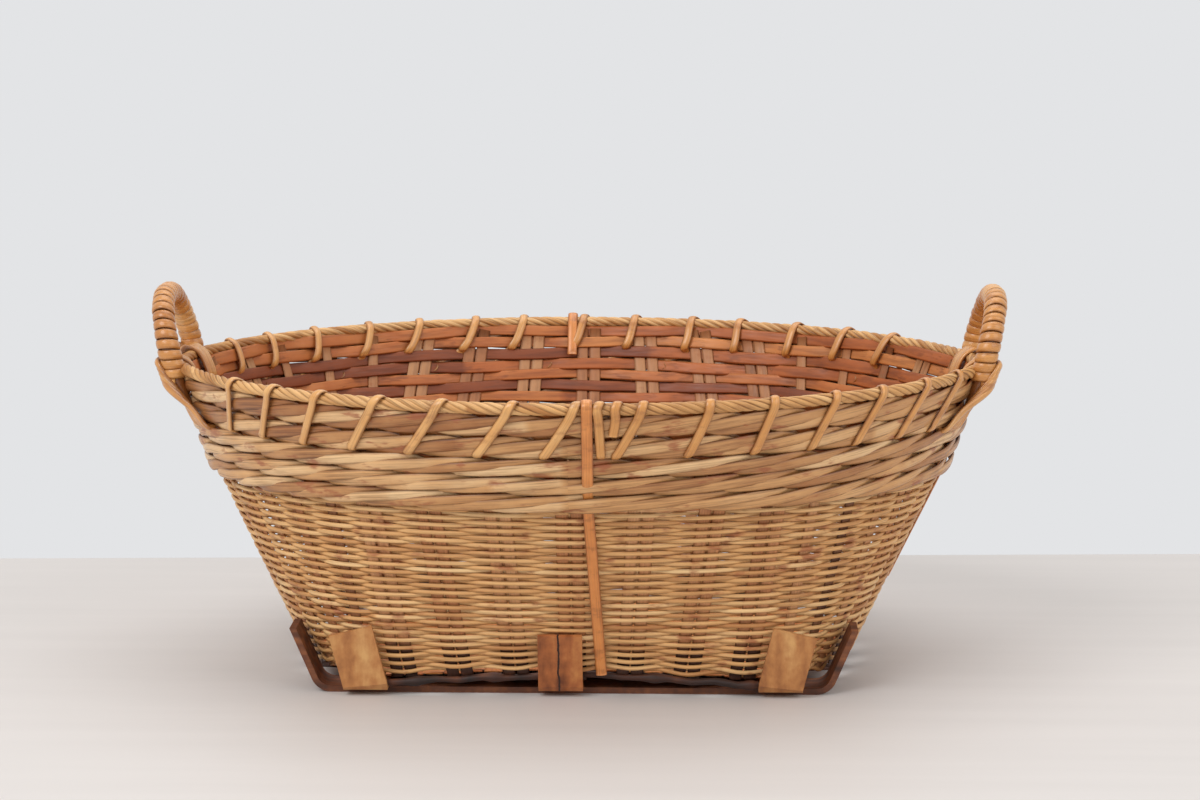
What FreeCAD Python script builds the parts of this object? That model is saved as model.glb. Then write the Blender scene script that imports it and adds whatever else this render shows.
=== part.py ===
import FreeCAD, Part
import math
import os
import Sketcher

# Oval two-handled basket of rattan and split bamboo.
# Millimetres, +Z up, length along X, front towards -Y, origin on the table under the middle.

Vector = FreeCAD.Vector
UP = Vector(0, 0, 1)

# Driving sizes, each in a cell of its own
SIZES = {
    # plan of the wall's outer face at the foot, the waist and the rim
    "base_length": 340,
    "base_width": 224,
    "base_corner_radius": 45,
    "base_side_turn": 6,
    "base_end_turn": 28,
    "waist_length": 446,
    "waist_width": 336,
    "waist_corner_radius": 190,
    "waist_side_turn": 22,
    "waist_end_turn": 27,
    "rim_length": 484,
    "rim_width": 390,
    "rim_corner_radius": 240,
    "rim_side_turn": 22,
    "rim_end_turn": 23,
    # heights of the weave's zones
    "fine_weave_height": 109,
    "wale_height": 32,
    "lashed_height": 22.5,
    # woven walls, courses and rope
    "weave_thickness": 3.4,
    "weave_rows": 12,
    "weave_relief": 1.5,
    "wale_thickness": 5,
    "course_thickness": 2.6,
    "wale_courses": 2,
    "lashed_courses": 2,
    "rope_diameter": 6.6,
    "rope_sides": 6,
    "clearance": 0.3,
    # base
    "runner_width": 27,
    "runner_thickness": 3.6,
    "runner_inset": 7,
    "runner_rise": 38,
    "runner_bend": 9,
    "slat_width": 26,
    "slat_thickness": 2.4,
    "slat_inset": 8,
    "slat_middle_shift": 7,
    "slat_tab_height": 40,
    "slat_tab_fan": 8,
    "rod_diameter": 5,
    "mat_thickness": 2,
    # stakes
    "stake_width": 15,
    "stake_thickness": 1.4,
    "corner_stake_width": 7,
    "side_stakes": 3,
    "end_stakes": 2,
    "corner_stakes": 3,
    # cane bindings
    "lash_width": 6,
    "lash_thickness": 1.6,
    "lash_slant": 14,
    "lash_crest": 4,
    "lash_end": 8,
    "binding_loops": 2,
    "binding_bend": 3.2,
    "binding_diameter": 2.6,
    "binding_gap": 7,
    "cane_sides": 3,
    "tie_width": 6.5,
    "tie_thickness": 1.8,
    "tie_slant": 5,
    "tie_tail": 20,
    "end_tie_drop": 70,
    # handles
    "leg_spacing": 80,
    "handle_rise": 45,
    "arch_flat": 8,
    "core_diameter": 9,
    "core_sides": 6,
    "wrap_diameter": 3.1,
    "wrap_turns": 14,
    "wrap_start": 7,
}

doc = FreeCAD.newDocument("RattanBasket")
sheet = doc.addObject("Spreadsheet::Sheet", "Sizes")
for row, (alias, value) in enumerate(SIZES.items(), start=1):
    sheet.set(f"A{row}", alias)
    sheet.set(f"B{row}", str(value))
    sheet.setAlias(f"B{row}", alias)
doc.recompute()


def size(alias):
    """A driving size, read from the sheet."""
    return float(sheet.get(alias))


def count(alias):
    """A driving count, read from the sheet."""
    return int(round(size(alias)))


# Levels, from the table up
CLEARANCE = size("clearance")
RUNNER_TOP = size("runner_thickness")
SLAT_TOP = RUNNER_TOP + size("slat_thickness")
LENGTHWISE_RUN = SLAT_TOP + CLEARANCE + size("stake_thickness") / 2
CROSSWISE_RUN = LENGTHWISE_RUN + size("stake_thickness") + CLEARANCE
MAT_BOTTOM = CROSSWISE_RUN + size("stake_thickness") / 2 + CLEARANCE
ROD_AXIS = SLAT_TOP + CLEARANCE + size("rod_diameter") / 2
FOOT = ROD_AXIS + size("rod_diameter") / 2 + CLEARANCE
WAIST = FOOT + size("fine_weave_height")
LASH_LINE = WAIST + size("wale_height")
LASH_HALF = size("lash_thickness") / 2
SLOT_HALF = LASH_HALF + CLEARANCE + size("lash_width") / 8
SLOT_MIDDLE = LASH_LINE + max(SLOT_HALF, size("binding_diameter") / 2 + CLEARANCE)
LASHED_FOOT = 2 * SLOT_MIDDLE - LASH_LINE
RIM = LASHED_FOOT + size("lashed_height")
ROPE_RADIUS = size("rope_diameter") / 2
ROPE_REACH = ROPE_RADIUS / math.cos(math.pi / size("rope_sides"))
ROPE_AXIS = RIM + CLEARANCE + ROPE_REACH
RIM_TOP = ROPE_AXIS + ROPE_REACH

# Layers of the wall, as level distances outward from the wall's outer face
WEAVE_INSIDE = -size("weave_thickness")
COURSE_INSIDE = CLEARANCE
COURSE_OUTSIDE = COURSE_INSIDE + size("course_thickness")
WALE_OUTSIDE = COURSE_INSIDE + size("wale_thickness")
BUNDLE_MIDDLE = (WEAVE_INSIDE + COURSE_OUTSIDE) / 2
STEEPEST = max(
    (size("waist_length") - size("base_length")) / 2 / size("fine_weave_height"),
    (size("waist_width") - size("base_width")) / 2 / size("fine_weave_height"),
    (size("rim_length") - size("waist_length")) / 2 / (RIM - WAIST),
    (size("rim_width") - size("waist_width")) / 2 / (RIM - WAIST),
)
STAKE_HALF = size("stake_thickness") / 2 * math.hypot(1, STEEPEST)
STAKE_MIDDLE = WEAVE_INSIDE - CLEARANCE - STAKE_HALF
STAKE_INSIDE = STAKE_MIDDLE - STAKE_HALF
RUNG_INSIDE = STAKE_INSIDE - CLEARANCE


# Plan of the wall: ovals of eight tangent arcs
class Oval:
    """A level oval: two side arcs, two end arcs and four corner arcs, all tangent."""

    def __init__(self, half_length, half_width, corner, side_turn, end_turn):
        self.half_length = half_length
        self.half_width = half_width
        self.corner = corner
        self.side_turn = side_turn
        self.end_turn = end_turn
        sin_s, cos_s = math.sin(side_turn), math.cos(side_turn)
        sin_e, cos_e = math.sin(end_turn), math.cos(end_turn)
        along = half_length - corner * (cos_e - sin_s)
        across = half_width - corner * (cos_s - sin_e)
        scale = sin_s * sin_e - (1 - cos_s) * (1 - cos_e)
        self.side = (along * sin_e - (1 - cos_e) * across) / scale
        self.end = (sin_s * across - (1 - cos_s) * along) / scale
        self.turns = (side_turn, math.pi / 2 - side_turn - end_turn, end_turn)
        self.lengths = (self.side * self.turns[0], corner * self.turns[1], self.end * self.turns[2])
        self.quarter = sum(self.lengths)

    def blend(self, other, share):
        """The oval part of the way to another one."""
        pairs = zip(self.parameters(), other.parameters())
        return Oval(*(near + (far - near) * share for near, far in pairs))

    def parameters(self):
        """The values that define the oval."""
        return self.half_length, self.half_width, self.corner, self.side_turn, self.end_turn

    def heading(self, station):
        """Turn of the outward normal from the front, at station 0 (front middle) to 3 (right end)."""
        piece = min(int(station), 2)
        return sum(self.turns[:piece]) + self.turns[piece] * (station - piece)

    def quarter_point(self, station, outward=0.0):
        """Point of the front right quarter, moved outward from the oval."""
        turn = self.heading(station)
        sin_t, cos_t = math.sin(turn), math.cos(turn)
        if station <= 1:
            x, y = self.side * sin_t, self.side - self.half_width - self.side * cos_t
        elif station <= 2:
            first = self.turns[0]
            x = (self.side - self.corner) * math.sin(first) + self.corner * sin_t
            y = self.side - self.half_width - (self.side - self.corner) * math.cos(first)
            y -= self.corner * cos_t
        else:
            x, y = self.half_length - self.end + self.end * sin_t, -self.end * cos_t
        return Vector(x + outward * sin_t, y - outward * cos_t, 0)

    def station_at(self, distance):
        """Station that lies a distance along the quarter from the front middle."""
        for piece, length in enumerate(self.lengths):
            if distance <= length or piece == 2:
                return piece + distance / length
            distance -= length

    def arcs(self, height, outward=0.0):
        """The eight arcs of the oval in order."""
        stations = (0, 1, 1.5, 2, 3)
        front, first, middle, second, right = (self.quarter_point(s, outward) for s in stations)

        def place(point, sign_x, sign_y):
            return Vector(point.x * sign_x, point.y * sign_y, height)

        knots = [
            (place(first, -1, 1), place(front, 1, 1), place(first, 1, 1)),
            (place(first, 1, 1), place(middle, 1, 1), place(second, 1, 1)),
            (place(second, 1, 1), place(right, 1, 1), place(second, 1, -1)),
            (place(second, 1, -1), place(middle, 1, -1), place(first, 1, -1)),
            (place(first, 1, -1), place(front, 1, -1), place(first, -1, -1)),
            (place(first, -1, -1), place(middle, -1, -1), place(second, -1, -1)),
            (place(second, -1, -1), place(right, -1, -1), place(second, -1, 1)),
            (place(second, -1, 1), place(middle, -1, 1), place(first, -1, 1)),
        ]
        return [Part.Arc(*three) for three in knots]

    def wire(self, height, outward=0.0):
        """The oval as a closed wire."""
        return Part.Wire([arc.toShape() for arc in self.arcs(height, outward)])


def named_oval(name):
    """The oval whose sizes start with a name."""
    return Oval(
        size(f"{name}_length") / 2,
        size(f"{name}_width") / 2,
        size(f"{name}_corner_radius"),
        math.radians(size(f"{name}_side_turn")),
        math.radians(size(f"{name}_end_turn")),
    )


BASE_OVAL = named_oval("base")
WAIST_OVAL = named_oval("waist")
RIM_OVAL = named_oval("rim")


def band_oval(height):
    """Outline of the wall's outer face at a height between the waist and above the rim."""
    return WAIST_OVAL.blend(RIM_OVAL, (height - WAIST) / (RIM - WAIST))


def wall_point(station, height, outward, sign_x=1, sign_y=1):
    """Point on the wall's outer face, moved outward on the level."""
    if height < WAIST:
        low, high, share = BASE_OVAL, WAIST_OVAL, (height - FOOT) / (WAIST - FOOT)
    else:
        low, high, share = WAIST_OVAL, RIM_OVAL, (height - WAIST) / (RIM - WAIST)
    point = low.quarter_point(station, outward) * (1 - share) + high.quarter_point(station, outward) * share
    return Vector(point.x * sign_x, point.y * sign_y, height)


def wall_lean(station, low, high):
    """Lean of the wall from upright between two heights."""
    run = wall_point(station, high, 0) - wall_point(station, low, 0)
    turn = RIM_OVAL.heading(station)
    return math.atan2(run.x * math.sin(turn) - run.y * math.cos(turn), high - low)


def quarter_station(distance):
    """Station, in its own quarter, of a place along the rim."""
    half = 2 * RIM_OVAL.quarter
    distance %= half
    return RIM_OVAL.station_at(min(distance, half - distance))


def rim_point(distance, height, outward):
    """Point of the band, a distance to the right along the rim from the front middle."""
    quarters = distance / RIM_OVAL.quarter % 4
    sign_x = 1 if quarters <= 2 else -1
    sign_y = -1 if 1 < quarters <= 3 else 1
    return wall_point(quarter_station(distance), height, outward, sign_x, sign_y)


def find_root(function, low, high):
    """Where a rising or falling function passes zero between two values."""
    rising = function(high) > function(low)
    for _ in range(60):
        middle = (low + high) / 2
        if (function(middle) < 0) == rising:
            low = middle
        else:
            high = middle
    return (low + high) / 2


# Shapes that the pieces are made of
def closed_solid(faces):
    """Solid inside a closed set of faces."""
    shell = Part.Shell(faces)
    shell.sewShape()
    solid = Part.Solid(shell)
    if solid.Volume < 0:
        solid.reverse()
    return solid


def ring(profile):
    """Closed ring through a profile of (outline, height, outward) corners."""
    wires = [outline.wire(height, outward) for outline, height, outward in profile]
    faces = []
    for wire, following in zip(wires, wires[1:] + wires[:1]):
        faces += [Part.makeRuledSurface(*pair) for pair in zip(wire.Edges, following.Edges)]
    return closed_solid(faces)


def band_ring(bottom, top, inside, outside):
    """Strip of the wall between two heights and two distances outward."""
    low, high = band_oval(bottom), band_oval(top)
    return ring([(low, bottom, outside), (high, top, outside), (high, top, inside), (low, bottom, inside)])


SAME_WAY = 1


def strip(path, widths, thickness, across):
    """Flat splint along a path, its width along the given directions at each point."""
    wires = []
    for index, point in enumerate(path):
        before = path[max(index - 1, 0)]
        after = path[min(index + 1, len(path) - 1)]
        coming = (point - before).normalize() if index else (after - point).normalize()
        going = (after - point).normalize() if index < len(path) - 1 else coming
        along = (coming + going).normalize()
        side = Vector(across[index])
        side = (side - along * side.dot(along)).normalize() * (widths[index] / 2)
        normal = along.cross(side).normalize() * (thickness / 2 / along.dot(coming))
        corners = [point - side - normal, point + side - normal, point + side + normal, point - side + normal]
        wires.append(Part.makePolygon(corners + corners[:1]))
    faces = [Part.Face(wires[0]), Part.Face(wires[-1])]
    for wire, following in zip(wires, wires[1:]):
        faces += [Part.makeRuledSurface(*pair, SAME_WAY) for pair in zip(wire.Edges, following.Edges)]
    return closed_solid(faces)


def arc_from(start, tangent, end):
    """Arc that leaves a point along a tangent and ends at another point."""
    chord = end - start
    level = tangent - chord * (tangent.dot(chord) / chord.dot(chord))
    if level.Length < 1e-6:
        return Part.LineSegment(start, end).toShape()
    half_angle = tangent.getAngle(chord) / 2
    middle = start + chord / 2 + level.normalize() * (chord.Length / 2 * math.tan(half_angle))
    return Part.Arc(start, middle, end).toShape()


def biarc(start, leaving, end, arriving):
    """Two tangent arcs between two points with given directions."""
    leaving, arriving = Vector(leaving).normalize(), Vector(arriving).normalize()
    gap = end - start
    turn = 2 * (1 - leaving.dot(arriving))
    ahead = gap.dot(leaving + arriving)
    if turn < 1e-9:
        reach = gap.dot(gap) / (2 * ahead)
    else:
        reach = (math.sqrt(ahead * ahead + turn * gap.dot(gap)) - ahead) / turn
    joint = (start + end + (leaving - arriving) * reach) / 2
    second = arc_from(end, arriving * -1, joint)
    return [arc_from(start, leaving, joint), second]


def least_gap(path, diameter, apart):
    """Least clear distance between stretches of a winding that lie apart along it."""
    points = path.discretize(Distance=diameter / 2)
    skip = int(apart / (diameter / 2))
    gaps = []
    for index, point in enumerate(points):
        for other in points[index + skip:]:
            gaps.append(point.distanceToPoint(other))
    return min(gaps) - diameter


def cane(name, edges, diameter, apart):
    """Cane along a path, one unbroken tube of few faces."""
    path = Part.Wire(Part.__sortEdges__(edges))
    start = path.OrderedEdges[0]
    origin = start.valueAt(start.FirstParameter)
    along = start.tangentAt(start.FirstParameter)
    if path.OrderedVertexes[0].Point.distanceToPoint(origin) > 1e-4:
        origin = start.valueAt(start.LastParameter)
        along = start.tangentAt(start.LastParameter)
    side = along.cross(UP if abs(along.z) < 0.9 else Vector(1, 0, 0)).normalize()
    other = along.cross(side)
    sides = count("cane_sides")
    corners = []
    for index in range(sides + 1):
        turn = 2 * math.pi * (index + 0.5) / sides
        corners.append(origin + (side * math.cos(turn) + other * math.sin(turn)) * (diameter / 2))
    maker = Part.BRepOffsetAPI.MakePipeShell(path)
    maker.add(Part.makePolygon(corners))
    maker.build()
    maker.makeSolid()
    print(f"{name}: least gap to itself {least_gap(path, diameter, apart):.2f} mm")
    return maker.shape()


# Pieces as objects of the document
PIECES = []


def keep(label, shape):
    """Add a piece whose shape is worked out from the sheet."""
    piece = doc.addObject("Part::Feature", label)
    piece.Label = label
    piece.Shape = shape
    piece.Placement = FreeCAD.Placement()
    PIECES.append(piece)
    return piece


def new_body(label):
    """Add a piece that is made of sketched features."""
    body = doc.addObject("PartDesign::Body", label)
    body.Label = label
    PIECES.append(body)
    return body


def new_sketch(body, name, plane):
    """Sketch on one of a body's own origin planes."""
    sketch = body.newObject("Sketcher::SketchObject", name)
    support = next(item for item in body.Origin.OriginFeatures if item.Role == plane)
    sketch.AttachmentSupport = (support, [""])
    sketch.MapMode = "FlatFace"
    return sketch


def draw_polygon(sketch, corners):
    """Closed outline of straight lines through corners."""
    total = len(corners)
    for index, (x, y) in enumerate(corners):
        next_x, next_y = corners[(index + 1) % total]
        sketch.addGeometry(Part.LineSegment(Vector(x, y, 0), Vector(next_x, next_y, 0)), False)
    for index in range(total):
        sketch.addConstraint(Sketcher.Constraint("Coincident", index, 2, (index + 1) % total, 1))


def add_pad(body, sketch, name, length):
    """Pad of a sketch, half to each side of its plane."""
    pad = body.newObject("PartDesign::Pad", name)
    pad.Profile = sketch
    pad.SideType = "Symmetric"
    pad.setExpression("Length", length)
    doc.recompute()
    return pad


def add_fillet(body, base, name, edges, radius):
    """Fillet on named edges of a feature."""
    fillet = body.newObject("PartDesign::Fillet", name)
    fillet.Base = (base, edges)
    fillet.setExpression("Radius", radius)
    doc.recompute()
    return fillet


def edges_near(feature, points):
    """Names of a feature's edges whose middles are at given points."""
    names = []
    for point in points:
        gaps = [edge.CenterOfMass.distanceToPoint(point) for edge in feature.Shape.Edges]
        names.append(f"Edge{gaps.index(min(gaps)) + 1}")
    return names


# Runners: bent laths that the basket stands on
def add_runners():
    """Front and back runner, with ends turned up against the end walls; returns where the flat ends."""
    thick, rise = size("runner_thickness"), size("runner_rise")
    inner_edge = size("base_width") / 2 - size("runner_inset") - size("runner_width")

    def wall_reach(height):
        station = find_root(lambda s: wall_point(s, height, 0).y + inner_edge, 1, 3)
        return wall_point(station, height, 0).x

    heights = [FOOT + (rise - FOOT) * step / 8 for step in range(9)]
    lean = (wall_reach(rise) - wall_reach(FOOT)) / (rise - FOOT)
    stretch = math.hypot(1, lean)
    foot = max(wall_reach(height) - lean * (height - thick) for height in heights) + CLEARANCE * stretch
    tip = foot + lean * (rise - thick)
    slant = thick * stretch
    heel = foot - lean * thick + slant
    half = [(heel, 0), (tip + slant, rise), (tip, rise), (foot, thick)]
    outline = half + [(-x, z) for x, z in reversed(half)]
    for side, sign in (("front", -1), ("back", 1)):
        body = new_body(f"runner_{side}")
        sketch = new_sketch(body, f"runner_{side}_profile", "XZ_Plane")
        draw_polygon(sketch, outline)
        pad = add_pad(body, sketch, f"runner_{side}_lath", "Sizes.runner_width")
        outer = edges_near(pad, [Vector(heel, 0, 0), Vector(-heel, 0, 0)])
        bend = add_fillet(body, pad, f"runner_{side}_heel", outer, "Sizes.runner_bend + Sizes.runner_thickness")
        inner = edges_near(bend, [Vector(foot, 0, thick), Vector(-foot, 0, thick)])
        add_fillet(body, bend, f"runner_{side}_bend", inner, "Sizes.runner_bend")
        body.Placement.Base = Vector(0, sign * (inner_edge + size("runner_width") / 2), 0)
    turn = math.pi / 2 - math.atan(lean)
    return foot - size("runner_bend") * math.tan(turn / 2)


# Slats: laths across the base, with ends turned up as tabs
def add_slats(spread):
    """Left, middle and right slat, each with a tab on the front and one on the back."""
    thick, width = size("slat_thickness"), size("slat_width")
    middle = RUNNER_TOP + thick / 2
    heel = ROD_PLACE + size("rod_diameter") / 2 + CLEARANCE + thick / 2
    tab_foot, tab_top = middle + thick, size("slat_tab_height")
    heights = [FOOT + (tab_top - FOOT) * step / 8 for step in range(9)]
    for name, sign in (("left", -1), ("middle", 0), ("right", 1)):
        x_foot = sign * spread if sign else -size("slat_middle_shift")
        x_top = x_foot + sign * size("slat_tab_fan")
        near_edge = max(abs(x_foot) - width / 2, 0)

        def wall_reach(height):
            station = find_root(lambda s: wall_point(s, height, 0).x - near_edge, 0, 2.5) if near_edge else 0
            return -wall_point(station, height, CLEARANCE).y

        lean = max((wall_reach(height) - heel) / (height - tab_foot) for height in heights)
        slant = CLEARANCE + thick / 2 * math.hypot(1, lean) if lean > 0 else thick / 2
        top_y = heel + max(lean, 0) * (tab_top - tab_foot) + slant
        path = [
            Vector(x_top, -top_y, tab_top),
            Vector(x_foot, -heel - thick / 2, tab_foot),
            Vector(x_foot, -heel + thick / 2, middle),
            Vector(x_foot, heel - thick / 2, middle),
            Vector(x_foot, heel + thick / 2, tab_foot),
            Vector(x_top, top_y, tab_top),
        ]
        across = [Vector(1, 0, 0)] * len(path)
        keep(f"slat_{name}", strip(path, [width] * len(path), thick, across))


# Base rods: twigs under the foot of the long walls
ROD_PLACE = size("base_width") / 2 + STAKE_MIDDLE + (size("stake_thickness") + size("rod_diameter")) / 2 + CLEARANCE


def add_rods(spread):
    """Front and back rod, lying on the slats from the left one to the right one."""
    for side, sign in (("front", -1), ("back", 1)):
        rod = doc.addObject("Part::Cylinder", f"base_rod_{side}")
        rod.Label = f"base_rod_{side}"
        rod.setExpression("Radius", "Sizes.rod_diameter / 2")
        rod.Height = 2 * spread
        rod.Placement = FreeCAD.Placement(
            Vector(-spread, sign * ROD_PLACE, ROD_AXIS),
            FreeCAD.Rotation(Vector(0, 1, 0), 90),
        )
        PIECES.append(rod)


# Stakes: splints that cross the base and stand in the wall up to the rim
def upright(foot_station, rim_station, sign_x, sign_y):
    """Points of one stake up the wall, and the level direction along the wall at each."""
    heights = [FOOT, (FOOT + WAIST) / 2, WAIST, RIM]
    points, across = [], []
    for height in heights:
        share = min((height - FOOT) / (WAIST - FOOT), 1)
        station = foot_station + (rim_station - foot_station) * share
        points.append(wall_point(station, height, STAKE_MIDDLE, sign_x, sign_y))
        ahead = wall_point(station + 0.01, height, STAKE_MIDDLE, sign_x, sign_y)
        behind = wall_point(station - 0.01, height, STAKE_MIDDLE, sign_x, sign_y)
        across.append((ahead - behind).normalize() * (sign_x * sign_y))
    return points, across


def add_stakes():
    """Crosswise, lengthwise and corner stakes, each kind a group of separate splints."""
    width, thick = size("stake_width"), size("stake_thickness")
    side_count, end_count, corner_count = count("side_stakes"), count("end_stakes"), count("corner_stakes")
    side_pitch = (BASE_OVAL.side * math.sin(BASE_OVAL.side_turn) - width) / side_count
    end_pitch = BASE_OVAL.end * math.sin(BASE_OVAL.end_turn) / (end_count + 0.5)
    steps = side_count + corner_count + end_count + 1
    spacing = RIM_OVAL.quarter / steps
    crosswise, lengthwise, corner = [], [], []
    for index in range(-side_count, side_count + 1):
        sign = -1 if index < 0 else 1
        x = abs(index) * side_pitch
        foot = find_root(lambda s: wall_point(s, FOOT, STAKE_MIDDLE).x - x, 0, 2.5) if index else 0.0
        rim = RIM_OVAL.station_at(abs(index) * spacing)
        up, across = upright(foot, rim, sign, 1)
        run = Vector(up[0].x, up[0].y, CROSSWISE_RUN)
        half, sides = [run] + up, [Vector(1, 0, 0)] + across
        back = [Vector(p.x, -p.y, p.z) for p in half]
        back_sides = [Vector(a.x, -a.y, a.z) for a in sides]
        path = half[::-1] + back
        crosswise.append(strip(path, [width] * len(path), thick, sides[::-1] + back_sides))
    for index in range(-end_count, end_count + 1):
        sign = -1 if index > 0 else 1
        y = abs(index) * end_pitch
        foot = find_root(lambda s: wall_point(s, FOOT, STAKE_MIDDLE).y + y, 1, 3) if index else 3.0
        rim = RIM_OVAL.station_at(RIM_OVAL.quarter - abs(index) * spacing)
        up, across = upright(foot, rim, 1, sign)
        run = Vector(up[0].x, up[0].y, LENGTHWISE_RUN)
        half, sides = [run] + up, [Vector(0, 1, 0)] + across
        left = [Vector(-p.x, p.y, p.z) for p in half]
        left_sides = [Vector(-a.x, a.y, a.z) for a in sides]
        path = half[::-1] + left
        lengthwise.append(strip(path, [width] * len(path), thick, sides[::-1] + left_sides))
    first = find_root(lambda s: wall_point(s, FOOT, STAKE_MIDDLE).x - side_count * side_pitch, 0, 2.5)
    last = find_root(lambda s: wall_point(s, FOOT, STAKE_MIDDLE).y + end_count * end_pitch, 1, 3)
    narrow = size("corner_stake_width")
    for index in range(1, corner_count + 1):
        foot = first + (last - first) * index / (corner_count + 1)
        rim = RIM_OVAL.station_at((side_count + index) * spacing)
        for sign_x in (-1, 1):
            for sign_y in (-1, 1):
                up, across = upright(foot, rim, sign_x, sign_y)
                corner.append(strip(up, [narrow] * len(up), thick, across))
    keep("crosswise_stakes", Part.makeCompound(crosswise))
    keep("lengthwise_stakes", Part.makeCompound(lengthwise))
    keep("corner_stakes", Part.makeCompound(corner))
    return spacing


# Woven walls, outer courses and rope
def woven_wall(spacing):
    """Fine weave: rows that pass over and under the stakes on the outside, and a smooth inside."""
    rows, relief = count("weave_rows"), size("weave_relief")
    top = WAIST - CLEARANCE
    columns = 2 * round(4 * RIM_OVAL.quarter / spacing)
    facet_sag = spacing**2 / (32 * RIM_OVAL.end)

    def ring(height, outward):
        points = [rim_point(i * spacing / 2, height, outward(i)) for i in range(columns)]
        return points + points[:1]

    def flush(column):
        return 0

    def inside(column):
        return WEAVE_INSIDE + facet_sag

    heights = [FOOT + (top - FOOT) * row / rows for row in range(rows + 1)]
    rings = [ring(FOOT, inside), ring(FOOT, flush)]
    for row in range(1, rows):
        rings.append(ring(heights[row], lambda i: relief * (math.cos(math.pi * (i / 2 + row)) - 1) / 2))
    rings.append(ring(top, flush))
    rings += [ring(height, inside) for height in heights[:0:-2]]
    rings.append(rings[0])
    faces = []
    for low, high in zip(rings, rings[1:]):
        for a, b, c, d in zip(low, low[1:], high[1:], high):
            faces.append(Part.Face(Part.makePolygon([a, b, c, a])))
            faces.append(Part.Face(Part.makePolygon([a, c, d, a])))
    return closed_solid(faces)


def add_walls(spacing):
    """Fine weave, flat weave behind the courses, courses and the rim's rope."""
    keep("wicker_wall", woven_wall(spacing))
    keep("waist_weave", band_ring(WAIST, LASH_LINE, WEAVE_INSIDE, 0))
    keep("rim_weave", band_ring(LASHED_FOOT, RIM, WEAVE_INSIDE, 0))
    zones = (("wale", WAIST, LASH_LINE, WALE_OUTSIDE), ("lashed", LASHED_FOOT, RIM, COURSE_OUTSIDE))
    for name, bottom, top, outside in zones:
        courses = count(f"{name}_courses")
        step = (top - bottom + CLEARANCE) / courses
        for index in range(courses):
            low = bottom + index * step
            course = band_ring(low, low + step - CLEARANCE, COURSE_INSIDE, outside)
            keep(f"{name}_course_{index + 1}", course)
    sides = count("rope_sides")
    outline = band_oval(ROPE_AXIS)
    profile = []
    for index in range(sides):
        turn = 2 * math.pi * (index + 0.5) / sides
        outward = BUNDLE_MIDDLE + ROPE_REACH * math.cos(turn)
        profile.append((outline, ROPE_AXIS + ROPE_REACH * math.sin(turn), outward))
    keep("rim_rope", ring(profile))


def add_mat():
    """Floor of the basket, a closed mat on the stakes."""
    body = new_body("base_mat")
    sketch = new_sketch(body, "base_mat_outline", "XY_Plane")
    corner_reach = size("stake_width") / 2 * math.sin(max(BASE_OVAL.side_turn, BASE_OVAL.end_turn))
    arcs = BASE_OVAL.arcs(0, RUNG_INSIDE - corner_reach)
    for arc in arcs:
        sketch.addGeometry(arc, False)
    for index in range(len(arcs)):
        sketch.addConstraint(Sketcher.Constraint("Coincident", index, 2, (index + 1) % len(arcs), 1))
    add_pad(body, sketch, "base_mat_plate", "Sizes.mat_thickness")
    body.Placement.Base = Vector(0, 0, MAT_BOTTOM + size("mat_thickness") / 2)


# Cane over the rim
CANE_HALF = max(LASH_HALF, size("binding_diameter") / 2)


class Hoop:
    """Run of a cane round the rim at a place along it: down the outside, over the rope, down the inside."""

    def __init__(self, distance):
        self.lean = wall_lean(quarter_station(distance), WAIST, RIM)
        self.stretch = 1 / math.cos(self.lean)
        round_rope = BUNDLE_MIDDLE + (ROPE_REACH + CLEARANCE + CANE_HALF) * self.stretch
        self.outside = max(round_rope, COURSE_OUTSIDE + CLEARANCE + CANE_HALF * self.stretch)
        self.inside = RUNG_INSIDE - CANE_HALF * self.stretch
        self.radius = (self.outside - self.inside) / 2 / self.stretch
        self.crest_drop = self.radius * math.sin(self.lean)

    def fold(self, angle):
        """Height and distance outward of the fold over the rope, from outside (0) to inside (half a turn)."""
        radius = self.radius / math.cos(math.pi / 8)
        along, outward = radius * math.sin(angle), radius * math.cos(angle)
        height = ROPE_AXIS + along * math.cos(self.lean) - outward * math.sin(self.lean)
        return height, (self.outside + self.inside) / 2 + outward * self.stretch


def add_lashings(spacing):
    """Four flat canes that spiral over the rim, with one loop between each two stakes."""
    slant, crest = size("lash_slant"), size("lash_crest")
    loops = count("side_stakes") + count("corner_stakes") + 1
    quarter = RIM_OVAL.quarter
    starts = {
        "front_right": 0.5 * spacing,
        "back_right": 2 * quarter - (loops - 0.5) * spacing,
        "back_left": 2 * quarter + 0.5 * spacing,
        "front_left": 4 * quarter - (loops - 0.5) * spacing,
    }
    folds = [math.pi / 8 * step for step in (1, 3, 5, 7)]
    for name, start in starts.items():
        places = []
        for loop in range(loops):
            at = start + loop * spacing
            places.append((at, SLOT_MIDDLE, Hoop(at).inside))
            places.append((at, SLOT_MIDDLE, Hoop(at).outside))
            for step, angle in enumerate(folds):
                over = at + slant + crest * step / (len(folds) - 1)
                places.append((over, *Hoop(over).fold(angle)))
        finish = at + slant + crest + size("lash_end") / 2
        places.append((finish, places[-1][1] - size("lash_end"), places[-1][2]))
        path = [rim_point(*place) for place in places]
        across = [rim_point(s + 1, z, o) - rim_point(s - 1, z, o) for s, z, o in places]
        cane_strip = strip(path, [size("lash_width")] * len(path), size("lash_thickness"), across)
        keep(f"lashing_{name}", cane_strip)


def touch(along, depth, reach):
    """Length of the straight run from beside a leg to where it touches, and the turn left to the front."""
    distance = math.hypot(along, depth)
    run = math.sqrt(max(distance * distance - reach * reach, CLEARANCE))
    turn = math.pi - math.atan2(along, depth) - math.atan2(run, reach)
    return run, turn


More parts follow.
